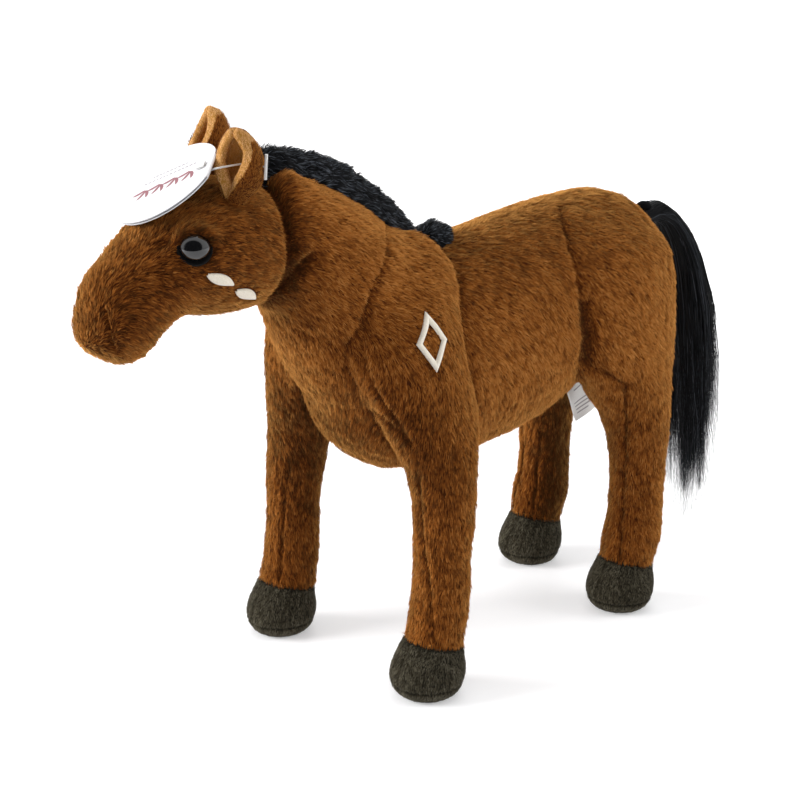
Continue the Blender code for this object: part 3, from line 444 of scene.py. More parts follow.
verts, edges, quads = remeshed(BODY_NODES, SKIN_VOXEL, 45)
skin_tree = BVHTree.FromPolygons(verts.tolist(), quads.tolist())
labels = label_nearest(verts, edges, BODY_NODES, 5 * MM)
face_labels = labels[quads[:, 0]]


def border(first=None, second=None):
    """Points where two forms' skins meet, or any two."""
    pair = np.sort(labels[edges], axis=1)
    hit = pair[:, 0] != pair[:, 1]
    if first:
        wanted = sorted((BODY_NODES.index(first), BODY_NODES.index(second)))
        hit &= (pair == wanted).all(1)
    return verts[edges[hit]].mean(1)


# Where the photograph shows one smooth panel, the steps between the forms under it are smoothed away:
# over the chest, the front of the shoulders and the top of the haunches
flat_borders = [border("torso", "neck")]
for hand in ("left", "right"):
    flat_borders.append(border("neck", f"{hand}_foreleg"))
    haunch = border("torso", f"{hand}_hindleg")
    flat_borders.append(haunch[(haunch[:, 2] > 0.150) | (haunch[:, 1] > 0.105)])
flat_borders = np.concatenate(flat_borders)
step_near = 0.95 * bell(near_points(verts, flat_borders, 26 * MM), 11 * MM)[:, None]
verts = verts + step_near * (spread(verts, edges, 170) - verts)
sewn = border()
sewn = sewn[near_points(sewn, flat_borders, 4 * MM) > 2 * MM]
nape = border("head", "neck")

# Lines drawn on the photograph: seams and folds that the forms alone don't give. Each has its
# depth and width in millimetres, how much painted shade darkens it, and which way its twin on the other side
# of the horse is stepped: the fore legs, the hind legs, neither, or none at all.
drawn_lines = [
    ([(558, 205), (567, 239), (576, 268), (583, 306)], 1.5, 1.7, 0.20, "same"),
    ([(585, 304), (588, 333), (587, 362)], 3.2, 3.8, 0.52, "same"),
    ([(584, 366), (599, 369), (617, 380), (626, 384)], 1.8, 1.7, 0.34, "hind"),
    ([(626, 384), (626, 415), (624, 459), (622, 503), (619, 558)], 1.5, 1.2, 0.42, "hind"),
    ([(417, 470), (419, 510), (423, 550), (429, 588), (435, 640)], 1.4, 1.1, 0.36, "fore"),
    ([(288, 470), (283, 520), (280, 576)], 0.9, 1.0, 0.22, "none"),
    ([(540, 440), (538, 480), (534, 512)], 0.8, 1.0, 0.15, "none"),
    ([(281, 290), (289, 281), (300, 268), (313, 256)], 2.8, 2.6, 0.34, "same"),
    ([(387, 222), (388, 250), (382, 269), (373, 288), (366, 308), (358, 329), (344, 348)],
     1.4, 1.5, 0.24, "same"),
    ([(344, 348), (348, 369), (359, 393), (374, 414), (390, 424), (406, 438)], 1.5, 1.5, 0.24, "same"),
    ([(366, 310), (363, 331), (362, 353), (367, 375), (375, 393), (390, 411), (402, 428), (411, 444)],
     1.6, 1.4, 0.28, "same"),
    ([(306, 393), (313, 418), (325, 440), (344, 455)], 0.9, 1.6, 0.12, "none"),
    ([(296, 330), (322, 338), (344, 348)], 0.8, 2.0, 0.08, "none"),
    ([(104, 313), (108, 330), (113, 352)], 1.4, 1.2, 0.26, "none"),
    ([(158, 247), (166, 243), (173, 236)], 1.0, 2.0, 0.22, "same"),
]
SEAM_PAINTED_SHADE = -0.20
TWIN_STEPS = {"same": 0.0, "fore": -12 * MM, "hind": 8 * MM}
TWIN_START, TWIN_FULL = 0.16, 0.06
# Along every seam and drawn line the skin is grooved and painted shade darkens the pile, as the groove's
# shadow
seam_near = near_points(verts, sewn, 5 * SEAM_WIDTH)
groove = SEAM_DEPTH * bell(seam_near, SEAM_WIDTH)
shade = SEAM_PAINTED_SHADE * bell(seam_near, 0.9 * SEAM_WIDTH)
for points, depth, width, dark, twin in drawn_lines:
    line = project_line(points, skin_tree)
    if twin != "none":
        stepped = line * (-1, 1, 1)
        stepped[:, 1] += TWIN_STEPS[twin] * rising(stepped[:, 2], TWIN_START, TWIN_FULL)
        line = np.concatenate([line, stepped])
    share = near_points(verts, line, 4 * width * MM) / (width * MM)
    groove = np.maximum(groove, depth * MM * bell(share, 1))
    shade = np.minimum(shade, -dark * bell(share, 0.75)) - dark * 0.25 * bell(share, 2.2)

# The head's rear edge stands up over the neck, which lies in its shadow, painted darker into the neck's pile;
# beside the mane's front end the neck is fuller than its form
NECK_SHOULDER = np.array((8.5, -98, 236.5)) * MM
behind = labels == BODY_NODES.index("neck")
nape_near = near_points(verts, nape, 14 * MM)
groove += behind * 1.5 * MM * bell(nape_near, 4.5 * MM)
groove -= (labels == BODY_NODES.index("head")) * 0.7 * MM * bell(nape_near - 2.5 * MM, 3 * MM)
shade -= behind * 0.30 * bell(nape_near, 5 * MM)
for side in (1, -1):
    groove -= 3.6 * MM * bell(away_from(verts, NECK_SHOULDER * (side, 1, 1)), 9 * MM)

# Each eye has a brow over it and lies in a dent, with painted shade round it
for seat, axis in eyes.values():
    away = away_from(verts, seat)
    above = rising(verts[:, 2], seat[2], seat[2] + 3 * MM)
    groove -= above * 2.7 * MM * bell(away - 6.8 * MM, 3.3 * MM)
    groove += (1 - above) * 0.5 * MM * bell(away - 7.5 * MM, 2.5 * MM)
    shade -= 0.25 * bell(away - 6.2 * MM, 2.0 * MM)
shade = spread(shade, edges, 1)[:, 0]
normals = vertex_normals(verts, quads)
surface = noise(verts, 22 * MM, 5) * 0.45 * MM + noise(verts, 9 * MM, 6) * 0.15 * MM
groove = spread(groove, edges, 2)[:, 0]
verts = verts + normals * (surface - groove - PILE_DEPTH)[:, None]
verts = spread(verts, edges, 2, (0.5, -0.5))
verts[:, 2] = np.maximum(verts[:, 2], LEG_END)
normals = vertex_normals(verts, quads)


def nap_field(verts, normals):
    """The way the pile is brushed: back and down on the barrel, back along the neck, down the legs."""
    y, z = verts[:, 1], verts[:, 2]
    flow = np.array((0.0, 0.60, -0.80)) + np.sign(verts[:, :1]) * (0.08, 0, 0)
    regions = (
        (rising(y, -0.015, -0.045) * rising(z, 0.20, 0.17), (0.0, 0.12, -1.0)),
        (rising(y, -0.030, -0.055) * rising(z, 0.150, 0.180), (0.0, 0.86, -0.50)),
        (rising(y, 0.070, 0.120) * rising(z, 0.11, 0.15), (0.0, 0.30, -0.95)),
        (rising(z, 0.150, 0.105), (0.0, 0.03, -1.0)),
        (rising(y, -0.088, -0.115) * rising(z, 0.155, 0.175),
         (0.0, 0.86, -0.50) + np.clip(-normals[:, 1:2], 0, 1) * (0, 0, 1.25)),
    )
    for share, way in regions:
        flow = flow * (1 - share[:, None]) + np.array(way) * share[:, None]
    flow = flow + noise_rows(verts, 34 * MM, 11) * 0.30 + noise_rows(verts, 12 * MM, 21) * 0.14
    return lie_flat(flow, normals)


nap = nap_field(verts, normals)
streaks = streak_field(verts, edges, quads, nap, 3, 31)
shade = shade + 0.165 * np.clip(streaks, -1.2, 0.7) + 0.035 * noise(verts, 13 * MM, 41) + 0.03
verts = verts + normals * (streaks * 0.22 * MM)[:, None]
verts[:, 2] = np.maximum(verts[:, 2], LEG_END)
normals = vertex_normals(verts, quads)

# Painted light and shade by region: the barrel painted paler; the head, chest, the back's upturned faces
# and the lower legs painted darker; and painted shade on the inner sides of the legs, which lie in the body's
# shade
x, y, z = verts.T
shade = shade + 0.06 * rising(z, 0.10, 0.14)
shade = shade - 0.28 * rising(y, -0.088, -0.103) * rising(z, 0.15, 0.17)
shade = shade - 0.38 * bell(np.hypot(y + 0.075, z - 0.12), 0.035)
shade = shade - 0.34 * np.clip(normals[:, 2], 0, 1) ** 2 * rising(y, -0.03, -0.01)
shade = shade - 0.06 * rising(z, 0.12, 0.08)
inner_leg_shade = np.clip(-np.sign(x) * normals[:, 0], 0, 1) * rising(z, 0.155, 0.125)
shade = shade - inner_leg_shade * (0.20 + 0.34 * rising(y, 0.03, 0.05))


# Pile: flat bent blades of real mesh, rooted on a skin

BLADE_LENGTH = 3.1 * MM
BLADE_WIDTH = 0.36 * MM
# Painted shade darkens each blade's root, down in the pile, and painted light makes its tip a little paler
BLADE_ROOT_SHADE_TIP_LIGHT = np.array((-0.26, -0.26, 0.0, 0.0, 0.12))


def grow_blades(verts, quads, normals, nap, density, length, width, seed, thin=None, tall=None,
                shade=None, stand=(42, 9), fleck=1.7 * MM, contrast=1.0):
    """Each blade's five points (two at the root, two at the bend, one tip), their normals and tones."""
    rng = np.random.default_rng(seed)
    tris = np.concatenate([quads[:, [0, 1, 2]], quads[:, [0, 2, 3]]])
    a, b, c = (verts[tris[:, k]] for k in range(3))
    weight = np.linalg.norm(np.cross(b - a, c - a), axis=1) / 2
    if thin is not None:
        weight = weight * thin[tris].mean(1)
    total = np.cumsum(weight)
    count = int(total[-1] * density)
    pick = np.searchsorted(total, rng.random(count) * total[-1])
    out, along = np.sqrt(rng.random(count)), rng.random(count)
    share = np.stack([1 - out, out * (1 - along), out * along], axis=1)[:, :, None]
    corners = tris[pick]

    def at_root(values):
        return (values.reshape(len(verts), -1)[corners] * share).sum(1)

    root = at_root(verts)
    normal = unit(at_root(normals))
    lengths = length * (0.75 + 0.45 * rng.random(count))
    if tall is not None:
        lengths = lengths * at_root(tall)[:, 0]
    tuft = noise_rows(root, fleck * 1.6, seed + 31)
    flow = lie_flat(at_root(nap) + tuft * 0.26 + rng.normal(0, 0.10, (count, 3)), normal)
    rise = noise(root, fleck, seed + 47)
    low = np.radians(stand[0] + 6 * rise + rng.normal(0, 6, count))[:, None]
    high = np.radians(stand[1] + 7 * rise + rng.normal(0, 4, count))[:, None]
    first = flow * np.cos(low) + normal * np.sin(low)
    second = flow * np.cos(high) + normal * np.sin(high)
    side = unit(np.cross(second, normal) + normal * rng.normal(0, 0.15, count)[:, None])
    half = side * (width / 2 * (0.75 + 0.5 * rng.random(count)))[:, None]
    base = root - normal * 0.25 * MM
    bend = base + first * (lengths * 0.42)[:, None]
    tip = bend + second * (lengths * 0.62)[:, None]
    points = np.stack([base - half, base + half, bend - half, bend + half, tip], axis=1)
    lean = unit(normal + tuft * 0.14 * contrast + rng.normal(0, 0.12, (count, 3)))
    flecks = 0.05 * rise + 0.05 * noise(root, fleck * 0.5, seed + 53) + rng.normal(0, 0.150, count)
    tone = 0.51 + contrast * flecks
    if shade is not None:
        tone = tone + at_root(shade)[:, 0]
    return points, np.repeat(lean[:, None], 5, 1), tone[:, None] + BLADE_ROOT_SHADE_TIP_LIGHT


def pile_pieces(name, blades, material, body):
    """Objects of blades, none with more faces than a piece may have; lit as the skin they cover."""
    parts = max(1, int(np.ceil(len(blades[0]) / PIECE_BLADES)))
    for part in range(parts):
        some, lean, tone = (np.array_split(rows, parts)[part] for rows in blades)
        count = len(some)
        start = (np.arange(count) * 5)[:, None]
        faces = [start + (0, 1, 3, 2), start + (2, 3, 4)]
        full_name = f"{name}_{part + 1}" if parts > 1 else name
        thing = new_object(full_name, some.reshape(-1, 3), faces, material)
        thing.data.shade_smooth()
        set_point_value(thing, "tone", tone.ravel())
        leaning = thing.data.attributes.new("custom_normal", "FLOAT_VECTOR", "POINT")
        leaning.data.foreach_set("vector", lean.astype(np.float32).ravel())
        quad_uv = np.tile(((0, 0), (1, 0), (1, 0.5), (0, 0.5)), (count, 1))
        tip_uv = np.tile(((0, 0.5), (1, 0.5), (0.5, 1)), (count, 1))
        cell_uvs(thing, np.tile(np.arange(count), 2), np.concatenate([quad_uv, tip_uv]))
        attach(thing, body)


def skin_piece(name, verts, quads, normals, material, body, replaced):
    used, index = np.unique(quads, return_inverse=True)
    thing = new_object(name, verts[used], [index.reshape(-1, 4)], material)
    thing.data.shade_smooth()
    thing.data.normals_split_custom_set_from_vertices(normals[used].tolist())
    cell_uvs(thing, np.arange(len(quads)), np.tile(((0, 0), (1, 0), (1, 1), (0, 1)), (len(quads), 1)))
    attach(thing, body)
    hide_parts(*replaced)


# The body's pile: none under the eyes, the mane, the tuft and the stitches, and short round them
thin = np.ones(len(verts))
tall = np.clip(1 - 0.30 * groove / SEAM_DEPTH, 0.5, 1)


def cut_short(where, most):
    tall[where] = np.minimum(tall[where], most)


for seat, axis in eyes.values():
    away = away_from(verts, seat)
    thin[away < 5.6 * MM] = 0
    cut_short((away < 12 * MM) & (verts[:, 2] < seat[2]), 0.75)

# The belly seam that the labels hang from
SEAM_FRONT = np.array((0, 0.07881, 0.11761))
SEAM_BACK = np.array((0, 0.09781, 0.12511))
label_seam = SEAM_FRONT + (SEAM_BACK - SEAM_FRONT) * np.linspace(-0.1, 1.1, 24)[:, None]
cut_short(near_points(verts, label_seam, 9 * MM) < 8 * MM, 0.45)

rooted = ((node_tree("mane"), 1.6 * MM), (node_tree("withers_tuft"), 1.0 * MM))
for k in np.nonzero((np.abs(verts[:, 0]) < 12 * MM) & (verts[:, 2] > 0.17))[0]:
    if any(tree.find_nearest(verts[k], reach)[0] is not None for tree, reach in rooted):
        thin[k] = 0
marks = [node_points(name) for name in ("cheek_leaf_1", "cheek_leaf_2", "shoulder_lozenge")]
stitched = near_points(verts, np.concatenate(marks), 6 * MM)
thin[stitched < 1.6 * MM] = 0
cut_short(stitched < 3.4 * MM, 0.6)

for k, name in enumerate(BODY_NODES):
    mine = quads[face_labels == k]
    skin_piece(f"{name}_cloth", verts, mine, normals, brown_ground, "horse", [name])
    blades = grow_blades(verts, mine, normals, nap, DENSITY * few, BLADE_LENGTH, BLADE_WIDTH, 100 + k,
                         thin, tall, shade)
    pile_pieces(f"{name}_pile", blades, brown_pile, "horse")


# Hooves: a wall and a sole with a seam between them, and a shallow crease down the front

SOLE_SEAM = 7.2 * MM
SEAM_SUNK = 0.7 * MM
for name in HOOF_NODES:
    pair = [f"{name}_hoof", f"{name}_sole"]
    hoof, hoof_edges, hoof_quads = remeshed(pair, 0.7 * MM, 25)
    middle = middle_of(pair[0])
    outward = vertex_normals(hoof, hoof_quads)
    front = (hoof[:, 1] < middle[1]) & (hoof[:, 2] > 3 * MM)
    groove = np.maximum(SEAM_SUNK * bell(hoof[:, 2] - SOLE_SEAM, 0.6 * MM),
                        front * 0.35 * MM * bell(hoof[:, 0] - middle[0], 0.8 * MM))
    bumps = noise(hoof, 9 * MM, 8) * 0.3 * MM
    flat = rising(hoof[:, 2], 0, 2 * MM)
    hoof = hoof + outward * ((bumps - groove - 0.6 * MM) * flat)[:, None]
    hoof[:, 2] = np.maximum(hoof[:, 2], 0)
    tucked = 1 - 0.20 * rising(hoof[:, 2:], SOLE_SEAM, 0) ** 2
    hoof[:, :2] = middle[:2] + (hoof[:, :2] - middle[:2]) * tucked
    outward = vertex_normals(hoof, hoof_quads)
    down = lie_flat((0, -0.12, -1.0) + noise_rows(hoof, 10 * MM, 71) * 0.3, outward)
    is_sole = hoof[:, 2][hoof_quads].mean(1) < SOLE_SEAM
    for node, mine in zip(pair, (hoof_quads[~is_sole], hoof_quads[is_sole])):
        skin_piece(f"{node}_cloth", hoof, mine, outward, hoof_ground, "horse", [node])
    shows = (hoof[:, 2] > 0.9 * MM).astype(float)
    # Painted shade darkens the pile in the seams and painted light makes the downturned sole paler; streaks
    # and noise vary the tone
    dark = -0.42 * np.minimum(groove / SEAM_SUNK, 1) + 0.10 * rising(hoof[:, 2], SOLE_SEAM, SOLE_SEAM - MM)
    dark = dark + 0.09 * streak_field(hoof, hoof_edges, hoof_quads, down, 7, 73)
    dark = dark + 0.04 * noise(hoof, 5 * MM, 75)
    blades = grow_blades(hoof, hoof_quads, outward, down, DENSITY * 1.5, 1.7 * MM, 0.32 * MM, 200, shows,
                         shade=dark, stand=(44, 12), fleck=1.3 * MM, contrast=0.9)
    blades[0][:, :, 2] = np.maximum(blades[0][:, :, 2], 0.2 * MM)
    pile_pieces(f"{name}_hoof_pile", blades, hoof_pile, "horse")


# Ears: back and lining are one thick folded leaf with a rolled rim, its foot tucked in

EAR_FOOT = 9 * MM
EAR_SIDES = (
    (brown_ground, brown_pile, "brown_plush", 1.9 * MM, DENSITY * 1.6),
    (tan_ground, tan_pile, "ear_lining", 1.0 * MM, DENSITY * 2.0),
)
for hand, side in (("left", 1), ("right", -1)):
    pair = [f"{hand}_ear_back", f"{hand}_ear_lining"]
    ear, ear_edges, ear_quads = remeshed(pair, 0.45 * MM, 14, 0.75 * MM)
    back_tree, lining_tree = (node_tree(node) for node in pair)
    gap = [back_tree.find_nearest(point)[3] - lining_tree.find_nearest(point)[3] for point in ear]
    gap = spread(gap, ear_edges, 5)[:, 0]
    lined = (gap > -1.25 * MM)[ear_quads[:, 0]]
    outward = vertex_normals(ear, ear_quads)
    rim_near = near_points(ear, ear[np.abs(gap) < 0.25 * MM], 12 * MM)
    roll = np.maximum(1.1 * MM * bell(gap, 1.0 * MM),
                      (gap > 0) * 2.0 * MM * bell(rim_near - 1.2 * MM, 1.6 * MM))
    roll = spread(roll, ear_edges, 3)[:, 0]
    ear = ear + outward * (noise(ear, 5 * MM, 9) * 0.25 * MM - 0.35 * MM + roll)[:, None]
    ear = spread(ear, ear_edges, 2, (0.5, -0.5))
    lowest = ear[:, 2].min()
    ear[:, 0] -= side * 4.0 * MM * rising(ear[:, 2], lowest + EAR_FOOT, lowest)
    outward = vertex_normals(ear, ear_quads)
    up = lie_flat((side * 0.1, -0.1, 1.0) + noise_rows(ear, 8 * MM, 81) * 0.35, outward)
    # Painted shade darkens the lining's hollow, away from the rim; streaks and noise vary the tone
    depth = (gap > 0) * rising(rim_near, 2.6 * MM, 5.6 * MM)
    dark = 0.06 * streak_field(ear, ear_edges, ear_quads, up, 4, 83) + 0.06 * noise(ear, 4 * MM, 85)
    dark = dark + 0.08 - 0.30 * depth
    for k, (ground, pile, slot, length, density) in enumerate(EAR_SIDES):
        mine = ear_quads[lined == k]
        skin_piece(f"{pair[k]}_cloth", ear, mine, outward, ground, "horse", [pair[k]])
        blades = grow_blades(ear, mine, outward, up, density, length, 0.26 * MM, 300 + k,
                             shade=dark * (k == 1), stand=(45, 16), fleck=1.2 * MM, contrast=0.6)
        pile_pieces(f"{pair[k]}_pile", blades, pile, "horse")


# Mane and tuft: dense slanting hair over a black core whose underside is sunk in the pile below

BRUSH_DENSITY = 4.2 / MM ** 2


def brush(node, length, inset, seed):
    form, form_edges, form_quads = remeshed([node], 0.7 * MM, 10)
    outward = vertex_normals(form, form_quads)
    under = spread(np.clip(-outward[:, 2] * 2, 0, 1), form_edges, 4)[:, 0]
    bumps = noise(form, 3.2 * MM, seed) * 0.75 * MM
    form = form + outward * ((bumps - inset) * (1 - under))[:, None]
    form[:, 2] -= under * 2.2 * MM
    form = spread(form, form_edges, 3, (0.5, -0.5))
    outward = vertex_normals(form, form_quads)
    skin_piece(f"{node}_core", form, form_quads, outward, black_ground, "horse", [node])
    way = lie_flat((0, 0.85, -0.60) + noise_rows(form, 3.5 * MM, seed + 3) * 0.9, outward)
    curls = streak_field(form, form_edges, form_quads, way, 3, seed + 7)
    blades = grow_blades(form, form_quads, outward, way, BRUSH_DENSITY * few, length, 0.46 * MM, seed,
                         1 - 0.9 * under, shade=0.17 * curls - 0.15, stand=(66, 28), fleck=1.3 * MM,
                         contrast=2.2)
    pile_pieces(f"{node}_hair", blades, black_pile, "horse")


brush("mane", 3.6 * MM, 1.9 * MM, 400)
brush("withers_tuft", 3.0 * MM, 1.2 * MM, 410)


# Tail: long straight hair hanging from the dock in locks with wispy ends, round a black core

DOCK = np.array((0, 0.13611, 0.19741))
TAIL_LENGTH = 0.160
TAIL_REACH = 0.048
TAIL_WIDTH = 0.033
TAIL_THICKNESS = 0.025
TAIL_STRANDS = 5600
STRAND_POINTS = 22
LOCKS = 42
WISPS = 0.20
CORE_END = 0.100

# Down the tail, as shares: the place, its reach to the rear, its thickness and its width
TAIL_ROWS = np.array([
    (-0.06, -0.16, 0.30, 0.50), (0.00, 0.18, 0.35, 0.58), (0.03, 0.31, 0.42, 0.66),
    (0.10, 0.50, 0.56, 0.78), (0.20, 0.65, 0.72, 0.88), (0.35, 0.78, 0.92, 0.96),
    (0.52, 0.86, 0.96, 1.00), (0.71, 0.925, 0.96, 1.00), (0.92, 0.97, 0.88, 0.90),
    (1.16, 0.99, 0.72, 0.75),
])


def on_disc(angle, out):
    return np.stack([np.cos(angle) * out, np.sin(angle) * out], axis=-1)


def tail_strands(count):
    """Hair: centre lines, widths, sideways directions and tones; some strands are loose curling wisps."""
    rng = np.random.default_rng(500)
    locks = on_disc(rng.random(LOCKS) * 2 * pi, np.sqrt(rng.random(LOCKS)))
    lock_end = 0.75 + 0.25 * rng.random(LOCKS) - 0.15 * locks[:, 1]
    place = on_disc(rng.random(count) * 2 * pi, np.sqrt(0.10 + 0.90 * rng.random(count)))
    mine = np.argmin(((place[:, None] - locks[None]) ** 2).sum(2), axis=1)
    loose = rng.random(count) < WISPS
    end = lock_end[mine] - np.abs(rng.normal(0, 0.08, count)) + loose * (0.04 + 0.20 * rng.random(count))
    end = np.clip(end, 0.45, 1.13)
    share = np.linspace(0, 1, STRAND_POINTS)
    t = share[None] * (end[:, None] + 0.06) - 0.06
    drop = np.where(t < 0, -0.5 * t, t)
    reach, thick, wide = (np.interp(t, TAIL_ROWS[:, 0], TAIL_ROWS[:, k]) for k in (1, 2, 3))
    gather = 0.96 * rising(t, 0.35, 0.85)[:, :, None] ** 1.1
    flat = place[:, None] * (1 - gather) + locks[mine][:, None] * gather
    steps = rng.normal(0, 1, (count, STRAND_POINTS, 2))
    wander = np.cumsum(steps, axis=1) * np.where(loose, 0.085, 0.032)[:, None, None]
    curl = (np.where(loose, 0.16, 0.03) * rng.random(count))[:, None] * np.clip(t * 2 - 0.9, 0, 1)
    phase = rng.random(count)[:, None] * 6 + t * (26 + 30 * rng.random(count))[:, None]
    flat = flat + wander * share[None, :, None] + on_disc(phase, curl)
    slope_y = np.gradient(reach, axis=1) * TAIL_REACH
    slope_z = -np.gradient(drop, axis=1) * TAIL_LENGTH
    run = np.hypot(slope_y, slope_z)
    up_y, up_z = -slope_z / run, slope_y / run
    aside, over = flat[:, :, 0], flat[:, :, 1]
    raised = over * TAIL_THICKNESS / 2 * thick
    lines = np.stack([aside * TAIL_WIDTH / 2 * wide,
                      DOCK[1] + TAIL_REACH * reach + up_y * raised,
                      DOCK[2] - TAIL_LENGTH * drop + up_z * raised], axis=2)
    outward = np.stack([aside, up_y * over, up_z * over], axis=2)
    side = unit(np.cross(np.gradient(lines, axis=1), outward + rng.normal(0, 0.35, (count, 1, 3))))
    tone = 0.34 + 0.20 * rng.standard_normal(count) + 0.4 * (lock_end[mine] - 0.82)
    # A few strands are painted much paler, as painted highlights
    tone = tone + 0.55 * (rng.random(count) < 0.05)
    tones = tone[:, None] + np.linspace(-0.05, 0.08, STRAND_POINTS)
    taper = np.clip((1 - share) * 1.7, 0.14, 1)
    thickness = np.where(loose, 0.24, 0.42) * MM * (0.7 + 0.6 * rng.random(count))
    return lines, thickness[:, None] * taper, side, tones


def ribbon_piece(name, lines, widths, sides, tones):
    """Each line of points becomes a flat ribbon."""
    count, steps = lines.shape[:2]
    half = sides * (widths / 2)[:, :, None]
    verts = np.stack([lines - half, lines + half], axis=2).reshape(-1, 3)
    thing = new_object(name, verts, [grid_quads(count, steps, 2)], black_pile)
    thing.data.shade_smooth()
    set_point_value(thing, "tone", np.repeat(tones.ravel(), 2))
    share = np.linspace(0, 1, steps)
    local = np.array([((0, a), (1, a), (1, b), (0, b)) for a, b in zip(share, share[1:])])
    cell_uvs(thing, np.repeat(np.arange(count), steps - 1), np.tile(local.reshape(-1, 2), (count, 1)))
    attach(thing, "tail")


ribbon_piece("tail_strands", *tail_strands(int(TAIL_STRANDS * few)))
form, form_edges, form_quads = remeshed(["tail_hair"], 1.0 * MM, 12)
low_end = rising(form[:, 2:], 0.135, 0.085)
top_end = rising(form[:, 2:], 0.150, 0.180)
form = form - vertex_normals(form, form_quads) * (2.6 + 5.5 * low_end + 4.4 * top_end) * MM
form[:, 2] = np.maximum(form[:, 2], CORE_END)
skin_piece("tail_core", form, form_quads, vertex_normals(form, form_quads), black_ground,
           "tail", ["tail_hair"])
nodes["tail_dock"].data.materials[0] = black_ground


# Eyes: glossy oval domes with a thin flange, and their washers inside the head. Profiles, from one
# end of the axis to the other, are radius and height in millimetres.

EYE_RADIUS, EYE_HEIGHT, EYE_SUNK, EYE_OVAL = 6.5, 5.0, 0.9, 0.84
DOME = [(0, -2), (EYE_RADIUS, -2)]
for degrees in range(0, 90, 5):
    DOME.append((EYE_RADIUS * cos(radians(degrees)), EYE_HEIGHT * sin(radians(degrees)) - EYE_SUNK))
DOME.append((0, EYE_HEIGHT - EYE_SUNK))
FLANGE = [(0, -3), (6.8, -3), (7.5, -2.4), (7.7, -1.4), (7.4, -0.5), (6.8, -0.25), (6.2, -0.6), (0, -0.9)]
TURNED_SIDES = 64


def turned(name, profile, axis, origin, material, squash=1):
    """Revolve a profile about an axis; squash makes it oval."""
    built = bmesh.new()
    angles = [2 * pi * k / TURNED_SIDES for k in range(TURNED_SIDES)]
    rings = []
    for radius, height in profile[1:-1]:
        spots = [(radius * cos(a), radius * sin(a) * squash, height) for a in angles]
        rings.append([built.verts.new(Vector(spot) * MM) for spot in spots])
    poles = [built.verts.new((0, 0, profile[k][1] * MM)) for k in (0, -1)]
    for k in range(TURNED_SIDES):
        after = (k + 1) % TURNED_SIDES
        for lower, upper in zip(rings, rings[1:]):
            built.faces.new((lower[k], lower[after], upper[after], upper[k]))
        for ring, pole in ((rings[0], poles[0]), (rings[-1], poles[1])):
            built.faces.new((ring[k], ring[after], pole))
    bmesh.ops.recalc_face_normals(built, faces=built.faces)
    turn = Vector(axis).normalized().to_track_quat("Z", "Y").to_matrix().to_4x4()
    turn.translation = Vector(origin)
    built.transform(turn)
    mesh = bpy.data.meshes.new(name)
    built.to_mesh(mesh)
    built.free()
    mesh.materials.append(material)
    mesh.shade_smooth()
    return put(name, mesh)


gloss, tree, shader = shader_nodes("eye_gloss", (0.0035, 0.0035, 0.0042), 0.05, IOR=1.55, Coat_Weight=0.6,
                                   Coat_Roughness=0.02)
mottle(tree, shader, 700, 3, [(0.3, (0.035,) * 3), (0.8, (0.085,) * 3)], "Roughness")
flange, tree, shader = shader_nodes("eye_flange", (0.0030, 0.0028, 0.0028), 0.6, Specular_IOR_Level=0.15)
mottle(tree, shader, 700, 3, [(0.3, (0.5,) * 3), (0.8, (0.7,) * 3)], "Roughness")
for hand, (seat, axis) in eyes.items():
    eye = turned(f"{hand}_eye_dome", DOME, axis, seat, gloss, EYE_OVAL)
    rim = turned(f"{hand}_eye_flange", FLANGE, axis, seat, flange)
    for piece in (eye, rim):
        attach(piece, "horse")
    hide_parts(f"{hand}_eye")

washer, tree, shader = shader_nodes("washer_plastic", (0.70, 0.70, 0.68), 0.45)
bump(tree, shader, object_noise(tree, 1200, 2), 0.2, 0.1 * MM)
for hand in eyes:
    nodes[f"{hand}_eye_washer"].data.materials[0] = washer


# Hang tag: coated white card with a printed sprig, its pin of clear nylon

card, tree, shader = shader_nodes("tag_card", (0.80, 0.80, 0.82), 0.38, Coat_Weight=0.25, Coat_Roughness=0.25)
mottle(tree, shader, 420, 4, [(0.30, (0.700, 0.700, 0.725)), (0.70, (0.745, 0.745, 0.765))])
bump(tree, shader, object_noise(tree, 900, 3), 0.15, 0.08 * MM)
nodes["hang_tag"].data.materials[0] = card

nylon, tree, shader = shader_nodes("pin_nylon", (0.84, 0.84, 0.83), 0.30, Transmission_Weight=0.25, IOR=1.4)
mottle(tree, shader, 800, 2, [(0.3, (0.80, 0.80, 0.79)), (0.7, (0.88, 0.88, 0.87))])
nodes["tag_pin"].data.materials[0] = nylon


def ink_material(name, colour):
    made, tree, shader = shader_nodes(name, colour, 0.55)
    pale = [min(1, value * 1.35) for value in colour]
    mottle(tree, shader, 1800, 3, [(0.35, colour), (0.75, pale)])
    return made


mauve_ink = ink_material("mauve_ink", (0.235, 0.095, 0.110))
grey_ink = ink_material("grey_ink", (0.300, 0.270, 0.290))

TAG_RADIUS = 24.8 * MM
TAG_HOLE = np.array((0.01037, -0.13966, 0.24797))
TAG_HOLE_INSET = 6.5 * MM
TAG_NORMAL = np.array((-sin(radians(4)), -sin(radians(35)), 0))
TAG_NORMAL[2] = sqrt(1 - TAG_NORMAL.dot(TAG_NORMAL))
level = np.array((-sin(radians(47)), -cos(radians(47)), 0))
TAG_DOWN = unit(level - TAG_NORMAL * level.dot(TAG_NORMAL))
TAG_ACROSS = np.cross(TAG_NORMAL, TAG_DOWN)
TAG_MIDDLE = TAG_HOLE + TAG_DOWN * (TAG_RADIUS - TAG_HOLE_INSET)
PRINT_LIFT = 0.73 * MM


